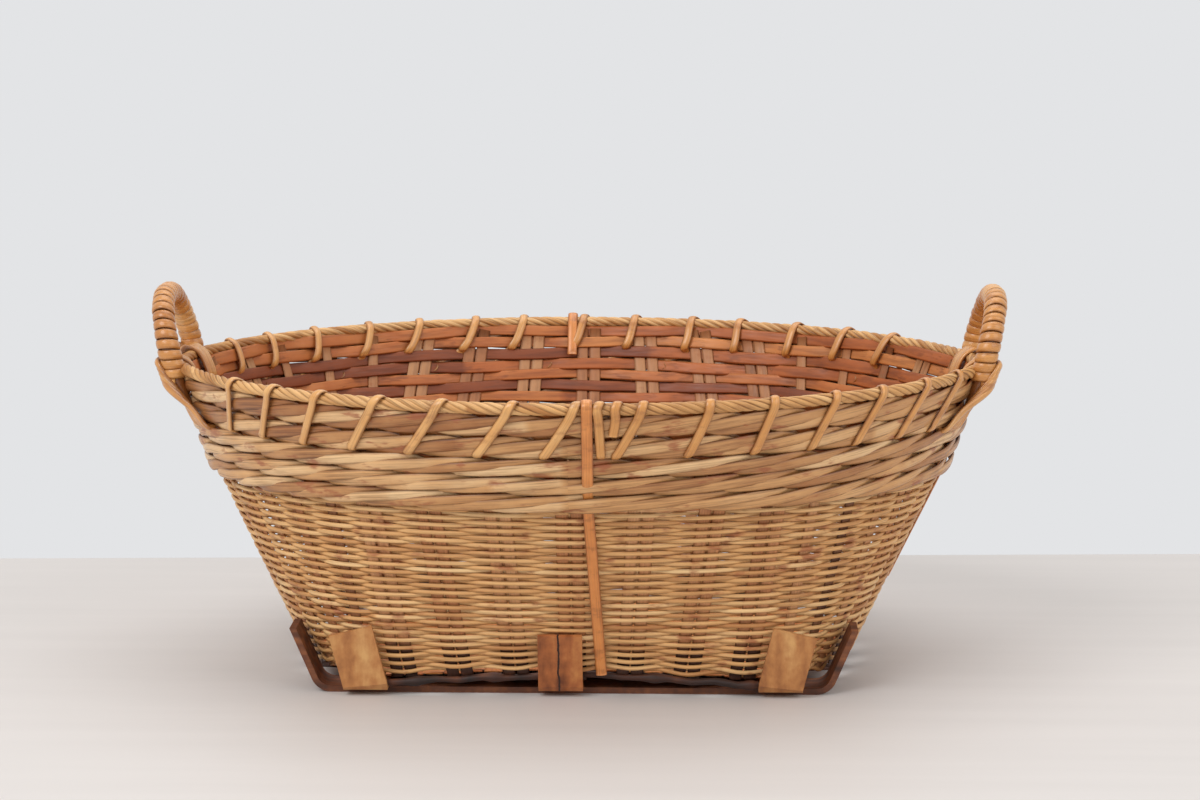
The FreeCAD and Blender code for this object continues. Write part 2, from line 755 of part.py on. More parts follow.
def add_bindings(spacing, legs):
    """Four canes that tie the handles' legs to the rim, each a few loops side by side."""
    bend, crest = size("binding_bend"), size("lash_crest")
    diameter = size("binding_diameter")
    step = diameter + size("binding_gap")
    loops = count("binding_loops")
    quarter = RIM_OVAL.quarter
    leg_along = legs["along"](RIM)
    hoop = Hoop(leg_along)
    leg_reach = (size("core_diameter") / 2 + CLEARANCE + diameter / 2) * hoop.stretch * hoop.stretch
    after_lashing = (count("side_stakes") + count("corner_stakes") + 1.5) * spacing
    bottom = min(after_lashing, leg_along - leg_reach - (loops - 1) / 2 * step - CLEARANCE)
    lean = leg_along - bottom
    depth = legs["outward"] - hoop.outside
    sides = {
        "right_front": (0, 1),
        "right_back": (2 * quarter, -1),
        "left_back": (2 * quarter, 1),
        "left_front": (4 * quarter, -1),
    }
    for name, (origin, sign) in sides.items():

        def place(along, height, outward):
            return rim_point(origin + sign * along, height, outward)

        edges = []
        for loop in range(loops):
            at = bottom + (loop - (loops - 1) / 2) * step
            through_in = place(at, SLOT_MIDDLE, hoop.inside + bend)
            through_out = place(at, SLOT_MIDDLE, hoop.outside - bend)
            low_out = place(at, SLOT_MIDDLE + bend, hoop.outside)
            high_out = place(at + 2 * lean, ROPE_AXIS - hoop.crest_drop, hoop.outside)
            before, after = leg_along - at, at + 2 * lean - leg_along
            near_run, near_turn = touch(before, depth, leg_reach)
            far_run, far_turn = touch(after, depth, leg_reach)
            total = near_run + leg_reach * (near_turn + far_turn) + far_run
            climb = (high_out.z - low_out.z) / total

            def beside(turn, run):
                height = low_out.z + climb * run
                along = legs["along"](height) + leg_reach * math.sin(turn)
                outward = legs["outward"] + leg_reach * math.cos(turn)
                return place(along, height, outward)

            near_touch = beside(-near_turn, near_run)
            on_leg = beside(0, near_run + leg_reach * near_turn)
            far_touch = beside(far_turn, total - far_run)
            high_in = place(at + 2 * lean + crest, ROPE_AXIS + hoop.crest_drop, hoop.inside)
            low_in = place(at + step, SLOT_MIDDLE + bend, hoop.inside)
            next_in = place(at + step, SLOT_MIDDLE, hoop.inside + bend)
            next_out = place(at + step, SLOT_MIDDLE, hoop.outside - bend)
            rising = near_touch - low_out
            crossing = beside(0.1, near_run + leg_reach * (near_turn + 0.1))
            crossing -= beside(-0.1, near_run + leg_reach * (near_turn - 0.1))
            closing = far_touch - beside(far_turn - 0.1, total - far_run - leg_reach * 0.1)
            upward = high_out - place(at + 2 * lean, LASHED_FOOT, hoop.outside)
            falling = low_in - high_in
            edges.append(Part.LineSegment(through_in, through_out).toShape())
            edges += biarc(through_out, through_out - through_in, low_out, rising)
            edges.append(Part.LineSegment(low_out, near_touch).toShape())
            edges += biarc(near_touch, rising, on_leg, crossing)
            edges += biarc(on_leg, crossing, far_touch, closing)
            edges += biarc(far_touch, closing, high_out, upward)
            edges += biarc(high_out, upward, high_in, falling)
            if loop == loops - 1:
                finish = high_in + Vector(falling).normalize() * size("lash_end")
                edges.append(Part.LineSegment(high_in, finish).toShape())
            else:
                edges.append(Part.LineSegment(high_in, low_in).toShape())
                edges += biarc(low_in, falling, next_in, next_out - next_in)
        apart = 2 * size("lashed_height")
        keep(f"handle_binding_{name}", cane(f"handle_binding_{name}", edges, diameter, apart))


# Ties: straps over the rim and down the wall
def add_ties(spacing):
    """Front, back and right end strap."""
    thick, width = size("tie_thickness"), size("tie_width")
    on_band = thick / 2 / math.cos(wall_lean(0, WAIST, RIM))
    on_course = COURSE_OUTSIDE + CLEARANCE + on_band
    on_wale = WALE_OUTSIDE + CLEARANCE + on_band
    on_wall = CLEARANCE + thick / 2 / math.cos(wall_lean(0, FOOT, WAIST))
    on_end = CLEARANCE + thick / 2 / math.cos(wall_lean(3, FOOT, WAIST))
    inside = RUNG_INSIDE - on_band
    crest = RIM_TOP + CLEARANCE + thick / 2
    lash_finish = size("lash_slant") + size("lash_crest") + (size("lash_end") + size("lash_width")) / 2
    shift = lash_finish - spacing / 2 + CLEARANCE + width / 2
    tilt = math.tan(wall_lean(0, WAIST, RIM)) * (crest - ROPE_AXIS)
    levels = [
        (ROPE_AXIS - size("tie_tail"), inside),
        (ROPE_AXIS, inside),
        (crest, BUNDLE_MIDDLE - ROPE_RADIUS - tilt),
        (crest, BUNDLE_MIDDLE + ROPE_RADIUS - tilt),
        (ROPE_AXIS, max(BUNDLE_MIDDLE + ROPE_REACH + CLEARANCE, COURSE_OUTSIDE) + on_band),
        (RIM - ROPE_RADIUS, on_course),
        (LASHED_FOOT + thick, on_course),
        (LASH_LINE + thick / 2, on_wale),
        (WAIST, on_wale),
        (WAIST - 2 * thick, on_wall),
        (FOOT, on_wall),
    ]
    slant = size("tie_slant")
    for side, sign_x, sign_y, kept in (("front", 1, 1, len(levels)), ("back", -1, -1, len(levels) - 2)):
        path = []
        for height, outward in levels[:kept]:
            point = wall_point(RIM_OVAL.station_at(shift), height, outward, sign_x, sign_y)
            drift = slant * max(WAIST - height, 0) / (WAIST - FOOT)
            path.append(Vector(sign_x * (shift + drift), point.y, height))
        keep(f"tie_{side}", strip(path, [width] * len(path), thick, [Vector(1, 0, 0)] * len(path)))
    low = WAIST - size("end_tie_drop")
    path = [wall_point(3, height, on_end) for height in (low, WAIST - CLEARANCE)]
    keep("tie_right_end", strip(path, [width] * 2, thick, [Vector(0, 1, 0)] * 2))


# Handles: wrapped arches against the outside of the rim
def leg_places():
    """Where the legs stand: distance along the rim, distance outward, and the lean of their plane."""
    lean = wall_lean(3, WAIST, RIM)
    beside_rope = BUNDLE_MIDDLE + ROPE_RADIUS + ROPE_REACH / 2 * math.tan(lean)
    outward = max(COURSE_OUTSIDE, beside_rope) + CLEARANCE + size("core_diameter") / 2 / math.cos(lean)
    half = size("leg_spacing") / 2
    low_station = find_root(lambda s: wall_point(s, LASHED_FOOT, outward).y + half, 1, 3)
    high_station = find_root(lambda s: wall_point(s, RIM, outward).y + half, 1, 3)
    low = wall_point(low_station, LASHED_FOOT, outward)
    high = wall_point(high_station, RIM, outward)

    def along(height):
        """Distance along the rim of a leg's axis at a height."""
        first = RIM_OVAL.lengths[0]
        return find_root(lambda d: rim_point(d, height, outward).y + half, first, RIM_OVAL.quarter)

    return {"outward": outward, "low": low, "high": high, "along": along}


def add_handles(legs):
    """Left and right arch, with the cane wound round each."""
    low, high = legs["low"], legs["high"]
    up = (Vector(high.x, 0, high.z) - Vector(low.x, 0, low.z)).normalize()
    half = size("leg_spacing") / 2
    radius = half - size("arch_flat") / 2
    core = size("core_diameter") / 2
    wrap = size("wrap_diameter") / 2
    reach = core + CLEARANCE + wrap
    top_height = RIM_TOP + size("handle_rise") - (reach + wrap)
    rise = (top_height - low.z) / up.z
    straight = rise - radius
    wrap_low = (RIM_TOP + size("wrap_start") - low.z) / up.z
    arc_length = math.pi / 2 * radius
    top_run = 2 * (half - radius)
    total = 2 * straight + 2 * arc_length + top_run

    def arch(distance):
        """Point and outward normal of the arch in its own plane, a distance along it."""
        if distance <= straight:
            return (-half, distance), (-1, 0)
        if distance <= straight + arc_length:
            turn = (distance - straight) / radius
            normal = (-math.cos(turn), math.sin(turn))
            return (-half + radius + radius * normal[0], straight + radius * normal[1]), normal
        if distance <= straight + arc_length + top_run:
            return (-half + radius + distance - straight - arc_length, rise), (0, 1)
        (x, y), normal = arch(total - distance)
        return (-x, y), (-normal[0], normal[1])

    for side, sign in (("left", -1), ("right", 1)):
        across = Vector(0, sign, 0)
        lift = Vector(sign * up.x, 0, up.z)
        facing = across.cross(lift)
        origin = Vector(sign * low.x, 0, low.z)
        frame = FreeCAD.Matrix(
            across.x, lift.x, facing.x, origin.x,
            across.y, lift.y, facing.y, origin.y,
            across.z, lift.z, facing.z, origin.z,
            0, 0, 0, 1,
        )
        body = new_body(f"handle_core_{side}")
        route = new_sketch(body, f"handle_{side}_route", "XY_Plane")
        left, right = -half + radius, half - radius
        route.addGeometry(Part.LineSegment(Vector(-half, 0, 0), Vector(-half, straight, 0)), False)
        circle = Part.Circle(Vector(left, straight, 0), Vector(0, 0, 1), radius)
        route.addGeometry(Part.ArcOfCircle(circle, math.pi / 2, math.pi), False)
        route.addGeometry(Part.LineSegment(Vector(left, rise, 0), Vector(right, rise, 0)), False)
        circle = Part.Circle(Vector(right, straight, 0), Vector(0, 0, 1), radius)
        route.addGeometry(Part.ArcOfCircle(circle, 0, math.pi / 2), False)
        route.addGeometry(Part.LineSegment(Vector(half, straight, 0), Vector(half, 0, 0)), False)
        section = new_sketch(body, f"handle_{side}_section", "XZ_Plane")
        corners = []
        for index in range(count("core_sides")):
            turn = 2 * math.pi * index / count("core_sides")
            corners.append((-half + core * math.cos(turn), core * math.sin(turn)))
        draw_polygon(section, corners)
        doc.recompute()
        pipe = body.newObject("PartDesign::AdditivePipe", f"handle_{side}_arch")
        pipe.Profile = section
        pipe.Spine = (route, ["Edge1", "Edge2", "Edge3", "Edge4", "Edge5"])
        body.Placement = FreeCAD.Placement(frame)
        doc.recompute()

        turns = count("wrap_turns")
        run = total - 2 * wrap_low

        def winding(turn):
            """Point of the wrap after a number of turns."""
            (x, y), normal = arch(wrap_low + run * turn / turns)
            angle = 2 * math.pi * turn
            out, level = reach * math.cos(angle), reach * math.sin(angle)
            return frame.multVec(Vector(x + normal[0] * out, y + normal[1] * out, level))

        def heading(turn):
            """Direction of the wrap after a number of turns."""
            tiny = 0.001
            return (winding(turn + tiny) - winding(turn - tiny)).normalize()

        edges = []
        for half_turn in range(2 * turns):
            near, far = half_turn / 2, (half_turn + 1) / 2
            edges += biarc(winding(near), heading(near), winding(far), heading(far))
        name = f"handle_wrap_{side}"
        keep(name, cane(name, edges, size("wrap_diameter"), math.pi * reach))


flat_end = add_runners()
slat_spread = flat_end - size("slat_inset") - size("slat_width") / 2
add_slats(slat_spread)
add_rods(slat_spread)
stake_spacing = add_stakes()
add_walls(stake_spacing)
add_mat()
leg_place = leg_places()
add_lashings(stake_spacing)
add_bindings(stake_spacing, leg_place)
add_ties(stake_spacing)
add_handles(leg_place)
doc.recompute()

# Every object is sound before anything is written
for item in doc.Objects:
    if "Invalid" in item.State or "Error" in item.State:
        raise RuntimeError(f"{item.Label} failed: {item.State}")
for piece in PIECES:
    if piece.Shape.isNull() or not piece.Shape.isValid():
        raise RuntimeError(f"{piece.Label} has no valid shape")

os.makedirs("parts", exist_ok=True)
for piece in PIECES:
    piece.Shape.exportStep(os.path.join("parts", f"{piece.Label}.step"))
    print(f"{piece.Label}: {len(piece.Shape.Solids)} solid(s), {piece.Shape.Volume / 1000:.2f} cm3")
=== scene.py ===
import logging
import math
from dataclasses import dataclass
from enum import Enum

import bpy
import numpy as np
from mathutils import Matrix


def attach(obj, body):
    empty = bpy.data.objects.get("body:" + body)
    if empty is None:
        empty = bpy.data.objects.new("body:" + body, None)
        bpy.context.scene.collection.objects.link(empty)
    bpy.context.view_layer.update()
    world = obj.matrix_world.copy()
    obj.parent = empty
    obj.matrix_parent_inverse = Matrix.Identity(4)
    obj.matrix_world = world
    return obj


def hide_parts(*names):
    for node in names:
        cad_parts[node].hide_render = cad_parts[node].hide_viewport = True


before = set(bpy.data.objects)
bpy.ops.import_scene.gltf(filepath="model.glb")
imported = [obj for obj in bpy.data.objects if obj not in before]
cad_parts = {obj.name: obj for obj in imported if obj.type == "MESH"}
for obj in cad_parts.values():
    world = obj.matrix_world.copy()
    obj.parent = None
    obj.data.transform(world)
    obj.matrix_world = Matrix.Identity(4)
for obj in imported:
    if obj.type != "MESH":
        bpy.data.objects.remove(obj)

Array = np.ndarray
Colour = tuple[int, int, int]
Rgba = tuple[float, float, float, float]
Triple = tuple[float, float, float]
LOG = logging.getLogger("basket")
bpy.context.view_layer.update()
MM = 0.001
UP = np.array([0.0, 0.0, 1.0])
ACROSS = np.array([0.0, 1.0, 0.0])
LEVEL = np.array([1.0, 1.0, 0.0])
QUARTER_PLACES = 3
ROUND_PLACES = 4 * QUARTER_PLACES
TONE = "tone"
TONE_SHAPE = 2.2
UV_LENGTH = 100.0
SEAM_LENGTH = 2.0


class Side(Enum):
    """An end of the basket, by the direction of its handle."""

    LEFT = -1
    RIGHT = 1


class Face(Enum):
    """A long wall of the basket, by where its middle lies in quarters of the rim."""

    FRONT = 0
    BACK = 2


def paint(colour: Colour) -> Rgba:
    """Linear colour of an sRGB colour.

    Args:
        colour: Red, green and blue of 0 to 255.

    Returns:
        Red, green, blue and opacity of 0 to 1.
    """
    shares = [part / 255 for part in colour]
    linear = [s / 12.92 if s <= 0.04045 else ((s + 0.055) / 1.055) ** 2.4 for s in shares]
    return linear[0], linear[1], linear[2], 1.0


def grey(value: float) -> Rgba:
    """Grey of a value from 0 to 1."""
    return value, value, value, 1.0


def unit(vectors: Array) -> Array:
    """Vectors of length one."""
    return vectors / np.maximum(np.linalg.norm(vectors, axis=-1, keepdims=True), 1e-9)


def smooth(points: Array, per_span: int) -> Array:
    """Smooth line through points.

    Args:
        points: Rows of coordinates that the line passes.
        per_span: Steps between each two points.

    Returns:
        Rows of coordinates along the line.
    """
    padded = np.vstack([2 * points[0] - points[1], points, 2 * points[-1] - points[-2]])
    share = np.linspace(0, 1, per_span, endpoint=False)[:, None]
    rows = []
    for a, b, c, d in zip(padded, padded[1:], padded[2:], padded[3:]):
        curve = 2 * b + (c - a) * share + (2 * a - 5 * b + 4 * c - d) * share**2
        rows.append((curve + (3 * b - a - 3 * c + d) * share**3) / 2)
    return np.vstack(rows + [points[-1:]])


def wander(rng: np.random.Generator, count: int, step: int) -> Array:
    """Slowly changing values of about -1 to 1.

    Args:
        rng: Source of chance.
        count: How many values.
        step: How many values lie between independent ones.

    Returns:
        The values in order.
    """
    knots = rng.uniform(-1, 1, count // step + 3)
    return np.interp(np.arange(count) / step, np.arange(len(knots)), knots)


def strand_tones(rng: np.random.Generator, count: int, shortest: int, longest: int) -> Array:
    """Tones of 0 to 1 along a strand that is made of several lengths of cane.

    Args:
        rng: Source of chance.
        count: How many values.
        shortest: Least values in one length.
        longest: Most values in one length.

    Returns:
        The tones in order.
    """
    tones: list[Array] = []
    total = 0
    while total < count:
        run = int(rng.integers(shortest, longest))
        tones.append(np.full(run, rng.beta(TONE_SHAPE, TONE_SHAPE)))
        total += run
    return np.concatenate(tones)[:count]


# Plan of the wall
@dataclass(frozen=True)
class Oval:
    """Level outline of the wall: two side arcs, two end arcs and four corner arcs, all tangent."""

    length: float
    width: float
    corner: float
    side_turn: float
    end_turn: float

    def turns(self) -> tuple[float, float, float]:
        """Turns of the side arc, the corner arc and the end arc within a quarter."""
        side, end = math.radians(self.side_turn), math.radians(self.end_turn)
        return side, math.pi / 2 - side - end, end

    def radii(self) -> tuple[float, float, float]:
        """Radii with which the oval meets its length and its width.

        Returns:
            Radii of the side arc, the corner arc and the end arc.
        """
        a, _, b = self.turns()
        along = self.length / 2 - self.corner * (math.cos(b) - math.sin(a))
        across = self.width / 2 - self.corner * (math.cos(a) - math.sin(b))
        scale = math.sin(a) * math.sin(b) - (1 - math.cos(a)) * (1 - math.cos(b))
        side = (along * math.sin(b) - (1 - math.cos(b)) * across) / scale
        end = (math.sin(a) * across - (1 - math.cos(a)) * along) / scale
        return side, self.corner, end

    def lengths(self) -> Array:
        """Lengths of the three arcs of a quarter."""
        return np.array(self.radii()) * np.array(self.turns())

    def point(self, station: Array, outward: Array) -> tuple[Array, Array]:
        """Places in the front right quarter.

        Args:
            station: 0 at the front middle to 3 at the right end.
            outward: Distance outward from the outline.

        Returns:
            The x and the y of each place.
        """
        side, corner, end = self.radii()
        first, second, third = self.turns()
        on_side, on_corner = station <= 1, station <= 2
        turn = np.where(on_corner, first + second * (station - 1), first + second + third * (station - 2))
        turn = np.where(on_side, first * station, turn)
        sin_t, cos_t = np.sin(turn), np.cos(turn)
        middle = side - self.width / 2
        corner_x = (side - corner) * math.sin(first) + corner * sin_t
        corner_y = middle - (side - corner) * math.cos(first) - corner * cos_t
        x = np.where(on_corner, corner_x, self.length / 2 - end + end * sin_t)
        y = np.where(on_corner, corner_y, -end * cos_t)
        x = np.where(on_side, side * sin_t, x)
        y = np.where(on_side, middle - side * cos_t, y)
        return x + outward * sin_t, y - outward * cos_t


@dataclass(frozen=True)
class WallPlan:
    """Where the wall stands, in millimetres; places run from 0 to 12 to the right round the basket."""

    base: Oval = Oval(340, 224, 45, 6, 28)
    waist: Oval = Oval(446, 336, 190, 22, 27)
    rim: Oval = Oval(484, 390, 240, 22, 23)
    foot: float = 11.6
    waist_height: float = 120.6
    lash_line: float = 152.6
    slot: float = 154.4
    lashed_foot: float = 156.3
    rim_height: float = 178.8
    rope_axis: float = 182.9
    bundle_middle: float = -0.25
    side_pitch: float = 33.1
    end_pitch: float = 32.9
    quarter_stakes: int = 9
    side_stakes: int = 3
    corner_stakes: int = 3
    end_stakes: int = 2
    stake_depth: float = -4.5
    level_above_slot: float = 3.0
    arch: float = 4.2
    arch_mean: float = 0.3
    arch_swing: float = 0.7
    arch_length: float = 250.0

    def at(self, place: Array, height: Array, outward: Array) -> Array:
        """Points on the wall.

        Args:
            place: Places round the basket.
            height: Heights above the table.
            outward: Level distances outward from the wall's outer face.

        Returns:
            Rows of x, y and z.
        """
        place, height, outward = np.broadcast_arrays(place, height, outward)
        turned = np.mod(place, ROUND_PLACES)
        quarter = np.minimum(np.floor(turned / QUARTER_PLACES), 3)
        odd = np.mod(quarter, 2) == 1
        station = np.where(odd, QUARTER_PLACES * (quarter + 1) - turned, turned - QUARTER_PLACES * quarter)
        share_low = (height - self.foot) / (self.waist_height - self.foot)
        share_high = (height - self.waist_height) / (self.rim_height - self.waist_height)
        bx, by = self.base.point(station, outward)
        wx, wy = self.waist.point(station, outward)
        rx, ry = self.rim.point(station, outward)
        low = height < self.waist_height
        x = np.where(low, bx + (wx - bx) * share_low, wx + (rx - wx) * share_high)
        y = np.where(low, by + (wy - by) * share_low, wy + (ry - wy) * share_high)
        x = np.where(quarter >= 2, -x, x)
        y = np.where((quarter == 1) | (quarter == 2), -y, y)
        return np.stack([x, y, height], axis=-1)

    def facing(self, place: Array, height: Array) -> Array:
        """Directions straight out of the wall's face.

        Args:
            place: Places round the basket.
            height: Heights above the table.

        Returns:
            Rows of unit vectors.
        """
        step, rise = 0.01, 0.5
        along = self.at(place + step, height, 0.0) - self.at(place - step, height, 0.0)
        upward = self.at(place, height + rise, 0.0) - self.at(place, height - rise, 0.0)
        return unit(np.cross(along, upward))

    def bundle_facing(self, place: Array, height: Array, outward: Array, lowest: float) -> Array:
        """Directions out of the bundle of wall, band and rope for a cane that lies round it.

        Args:
            place: Places round the basket.
            height: Heights of the cane.
            outward: Its distances outward from the wall.
            lowest: Height down to which the cane faces level.

        Returns:
            Rows of unit vectors.
        """
        level = unit(self.facing(place, height) * LEVEL)
        spine = np.clip(height, lowest, self.rope_axis)
        return unit(level * (outward - self.bundle_middle)[:, None] + UP * (height - spine)[:, None])

    def foot_lift(self, along: Array) -> Array:
        """How far the foot lies above its level at places along the length."""
        wave = np.cos(2 * math.pi * along / self.arch_length)
        return self.arch * (self.arch_mean + self.arch_swing * wave)

    def quarter(self) -> float:
        """Length of a quarter of the rim."""
        return float(self.rim.lengths().sum())

    def stakes(self) -> int:
        """How many stakes stand round the basket."""
        return 4 * self.quarter_stakes

    def spacing(self) -> float:
        """Distance between stakes along the rim."""
        return self.quarter() / self.quarter_stakes

    def place_of(self, distance: Array) -> Array:
        """Places by their distance along the rim.

        Args:
            distance: Distances to the right from the front middle.

        Returns:
            The places.
        """
        first, second, third = self.rim.lengths()
        steps = np.array([first, second, third, third, second, first] * 2)
        knots = np.concatenate([[0], np.cumsum(steps)])
        rounds = np.floor(distance / knots[-1])
        numbers = np.arange(ROUND_PLACES + 1.0)
        return np.interp(distance - rounds * knots[-1], knots, numbers) + ROUND_PLACES * rounds

    def stake_place(self, stake: Array, height: Array) -> Array:
        """Places of stakes.

        Args:
            stake: Stake numbers to the right from the front middle, whole or between two stakes.
            height: Heights above the table.

        Returns:
            The places at those heights.
        """
        steps = 200
        grid = np.linspace(0, QUARTER_PLACES, QUARTER_PLACES * steps + 1)
        x, y = self.base.point(grid, np.full_like(grid, self.stake_depth))
        front, end = slice(0, len(grid) // 2 + 1), slice(steps, None)
        sides = np.interp(self.side_pitch * np.arange(self.side_stakes + 1), x[front], grid[front])
        ends = np.interp(-self.end_pitch * np.arange(self.end_stakes, -1, -1), y[end], grid[end])
        between = np.arange(1, self.corner_stakes + 1) / (self.corner_stakes + 1)
        corners = sides[-1] + (ends[0] - sides[-1]) * between
        foot = np.concatenate([sides, corners, ends])
        back_middle = ROUND_PLACES // 2
        half = np.concatenate([foot, back_middle - foot[-2::-1]])
        foot_places = np.concatenate([half, back_middle + half[1:]])
        total = self.stakes()
        rim_places = self.place_of(self.spacing() * np.arange(total + 1))
        rim_places[-1] = ROUND_PLACES
        rounds = np.floor(stake / total)
        number = stake - rounds * total
        share = np.clip((height - self.foot) / (self.waist_height - self.foot), 0, 1)
        low = np.interp(number, np.arange(total + 1), foot_places)
        high = np.interp(number, np.arange(total + 1), rim_places)
        return low + (high - low) * share + ROUND_PLACES * rounds


PLAN = WallPlan()


# Finishes
class NodeGraph:
    """Short way to put a material together out of nodes."""

    def __init__(self, name: str) -> None:
        """Start an empty material.

        Args:
            name: Name of the material.
        """
        self.material = bpy.data.materials.new(name)
        self.material.use_nodes = True
        self.nodes = self.material.node_tree.nodes
        self.links = self.material.node_tree.links
        self.shader = self.nodes["Principled BSDF"]

    def add(self, kind: str, **sockets: object) -> bpy.types.Node:
        """Add a node and set its sockets.

        Args:
            kind: Blender's name of the node type.
            sockets: Values by socket name, with _ for a space; an output socket is linked.

        Returns:
            The new node.
        """
        node = self.nodes.new(kind)
        for label, value in sockets.items():
            self.join(value, node.inputs[label.replace("_", " ")])
        return node

    def join(self, value: object, socket: bpy.types.NodeSocket) -> None:
        """Link an output to a socket, or set the socket to a value.

        Args:
            value: An output socket or a plain value.
            socket: The socket that takes it.
        """
        if isinstance(value, bpy.types.NodeSocket):
            self.links.new(value, socket)
        else:
            socket.default_value = value

    def ramp(self, fac: bpy.types.NodeSocket, stops: list[tuple[float, Rgba]]) -> bpy.types.NodeSocket:
        """Colours along a value.

        Args:
            fac: The value.
            stops: Positions and colours in order.

        Returns:
            The colour.
        """
        node = self.add("ShaderNodeValToRGB", Fac=fac)
        elements = node.color_ramp.elements
        while len(elements) < len(stops):
            elements.new(0.5)
        for element, (position, colour) in zip(elements, stops):
            element.position = position
            element.color = colour
        return node.outputs["Color"]

    def mix(self, fac: object, first: object, second: object, blend: str = "MIX") -> bpy.types.NodeSocket:
        """Mix of two colours.

        Args:
            fac: Share of the second.
            first: First colour.
            second: Second colour.
            blend: Blender's name of the way to mix.

        Returns:
            The mixed colour.
        """
        node = self.nodes.new("ShaderNodeMix")
        node.data_type = "RGBA"
        node.blend_type = blend
        for socket, value in zip((node.inputs[0], node.inputs[6], node.inputs[7]), (fac, first, second)):
            self.join(value, socket)
        return node.outputs[2]

    def math(self, operation: str, *values: object) -> bpy.types.NodeSocket:
        """Result of a sum on values.

        Args:
            operation: Blender's name of the operation.
            values: The values in order.

        Returns:
            The result.
        """
        node = self.nodes.new("ShaderNodeMath")
        node.operation = operation
        for value, socket in zip(values, node.inputs):
            self.join(value, socket)
        return node.outputs[0]

    def blend(self, first: object, share: float, second: object) -> bpy.types.NodeSocket:
        """A share of one value and the rest of another."""
        return self.math("ADD", self.math("MULTIPLY", first, share), self.math("MULTIPLY", second, 1 - share))

    def noise(self, vector: bpy.types.NodeSocket, scale: Triple, detail: float) -> bpy.types.NodeSocket:
        """Noise over stretched coordinates.

        Args:
            vector: The coordinates.
            scale: How many features per unit along each.
            detail: How many finer layers.

        Returns:
            The noise of about 0 to 1.
        """
        mapped = self.add("ShaderNodeMapping", Vector=vector, Scale=scale)
        node = self.add("ShaderNodeTexNoise", Vector=mapped.outputs[0], Scale=1.0, Detail=detail)
        return node.outputs["Fac"]


STREAK_SCALE = (2.5, 11.0, 1.0)
FIBRE_SCALE = (9.0, 46.0, 1.0)
PATCH_SCALE = (46.0, 46.0, 80.0)
STAIN_SCALE = (62.0, 62.0, 150.0)
MOTTLE_SCALE = (190.0, 190.0, 150.0)
PATCH_SHARE = 0.5
FIBRE_SHADOW = (0.36, 0.28, 0.22, 1.0)
FIBRE_SHINE = (1.16, 1.13, 1.06, 1.0)
# EDGE_SHADOW multiplies the strands' sides as painted shade between neighbouring strands.
EDGE_SHADOW = (0.42, 0.33, 0.27, 1.0)
FIBRE_DEPTH = 0.0006
GRAIN_DEPTH = 0.0008
COAT_ROUGHNESS = 0.22


@dataclass(frozen=True)
class SplintFinish:
    """Split cane or bamboo with fibres along each strand, stains, a worn skin, and painted shade on each
    strand's sides.
    """

    name: str
    dark: Colour
    middle: Colour
    pale: Colour
    stain: Colour
    stain_share: float
    roughness: float
    fibre: float
    coat: float = 0.0
    relief: float = 0.25
    # edge: share of the painted shade that darkens each strand's sides
    edge: float = 0.8

    def material(self) -> bpy.types.Material:
        """The finish as a material.

        Returns:
            The material.
        """
        graph = NodeGraph(self.name)
        uv = graph.add("ShaderNodeUVMap").outputs[0]
        spot = graph.add("ShaderNodeTexCoord").outputs["Object"]
        tone = graph.nodes.new("ShaderNodeAttribute")
        tone.attribute_name = TONE
        streak = graph.noise(uv, STREAK_SCALE, 5.0)
        fine = graph.noise(uv, FIBRE_SCALE, 3.0)
        patch = graph.noise(spot, PATCH_SCALE, 4.0)
        spread = graph.math("MULTIPLY_ADD", patch, PATCH_SHARE, -PATCH_SHARE / 2)
        lifted = graph.math("ADD", tone.outputs["Fac"], spread)
        stops = [(0.1, paint(self.dark)), (0.5, paint(self.middle)), (0.9, paint(self.pale))]
        base = graph.ramp(lifted, stops)
        shade = graph.ramp(streak, [(0.34, FIBRE_SHADOW), (0.5, grey(1.0)), (0.72, FIBRE_SHINE)])
        base = graph.mix(self.fibre, base, shade, "MULTIPLY")
        # Painted shade: the sides of each strand's section, away from its front middle, are darkened with
        # EDGE_SHADOW to stand for the shade between neighbouring strands.
        around = graph.add("ShaderNodeSeparateXYZ", Vector=uv).outputs["Y"]
        from_front = graph.math("PINGPONG", around, 0.5)
        edge = graph.ramp(from_front, [(0.13, grey(1.0)), (0.27, EDGE_SHADOW)])
        base = graph.mix(self.edge, base, edge, "MULTIPLY")
        reach = graph.blend(graph.noise(spot, STAIN_SCALE, 3.0), 0.75, fine)
        stained = graph.ramp(reach, [(0.57, grey(0.0)), (0.64, grey(self.stain_share))])
        base = graph.mix(stained, base, paint(self.stain))
        graph.join(base, graph.shader.inputs["Base Color"])
        rough = graph.ramp(fine, [(0.3, grey(self.roughness - 0.1)), (0.7, grey(self.roughness + 0.14))])
        graph.join(rough, graph.shader.inputs["Roughness"])
        graph.join(self.coat, graph.shader.inputs["Coat Weight"])
        graph.join(COAT_ROUGHNESS, graph.shader.inputs["Coat Roughness"])
        height = graph.blend(streak, 0.6, fine)
        bump = graph.add("ShaderNodeBump", Strength=self.relief, Distance=FIBRE_DEPTH, Height=height)
        graph.join(bump.outputs[0], graph.shader.inputs["Normal"])
        return graph.material


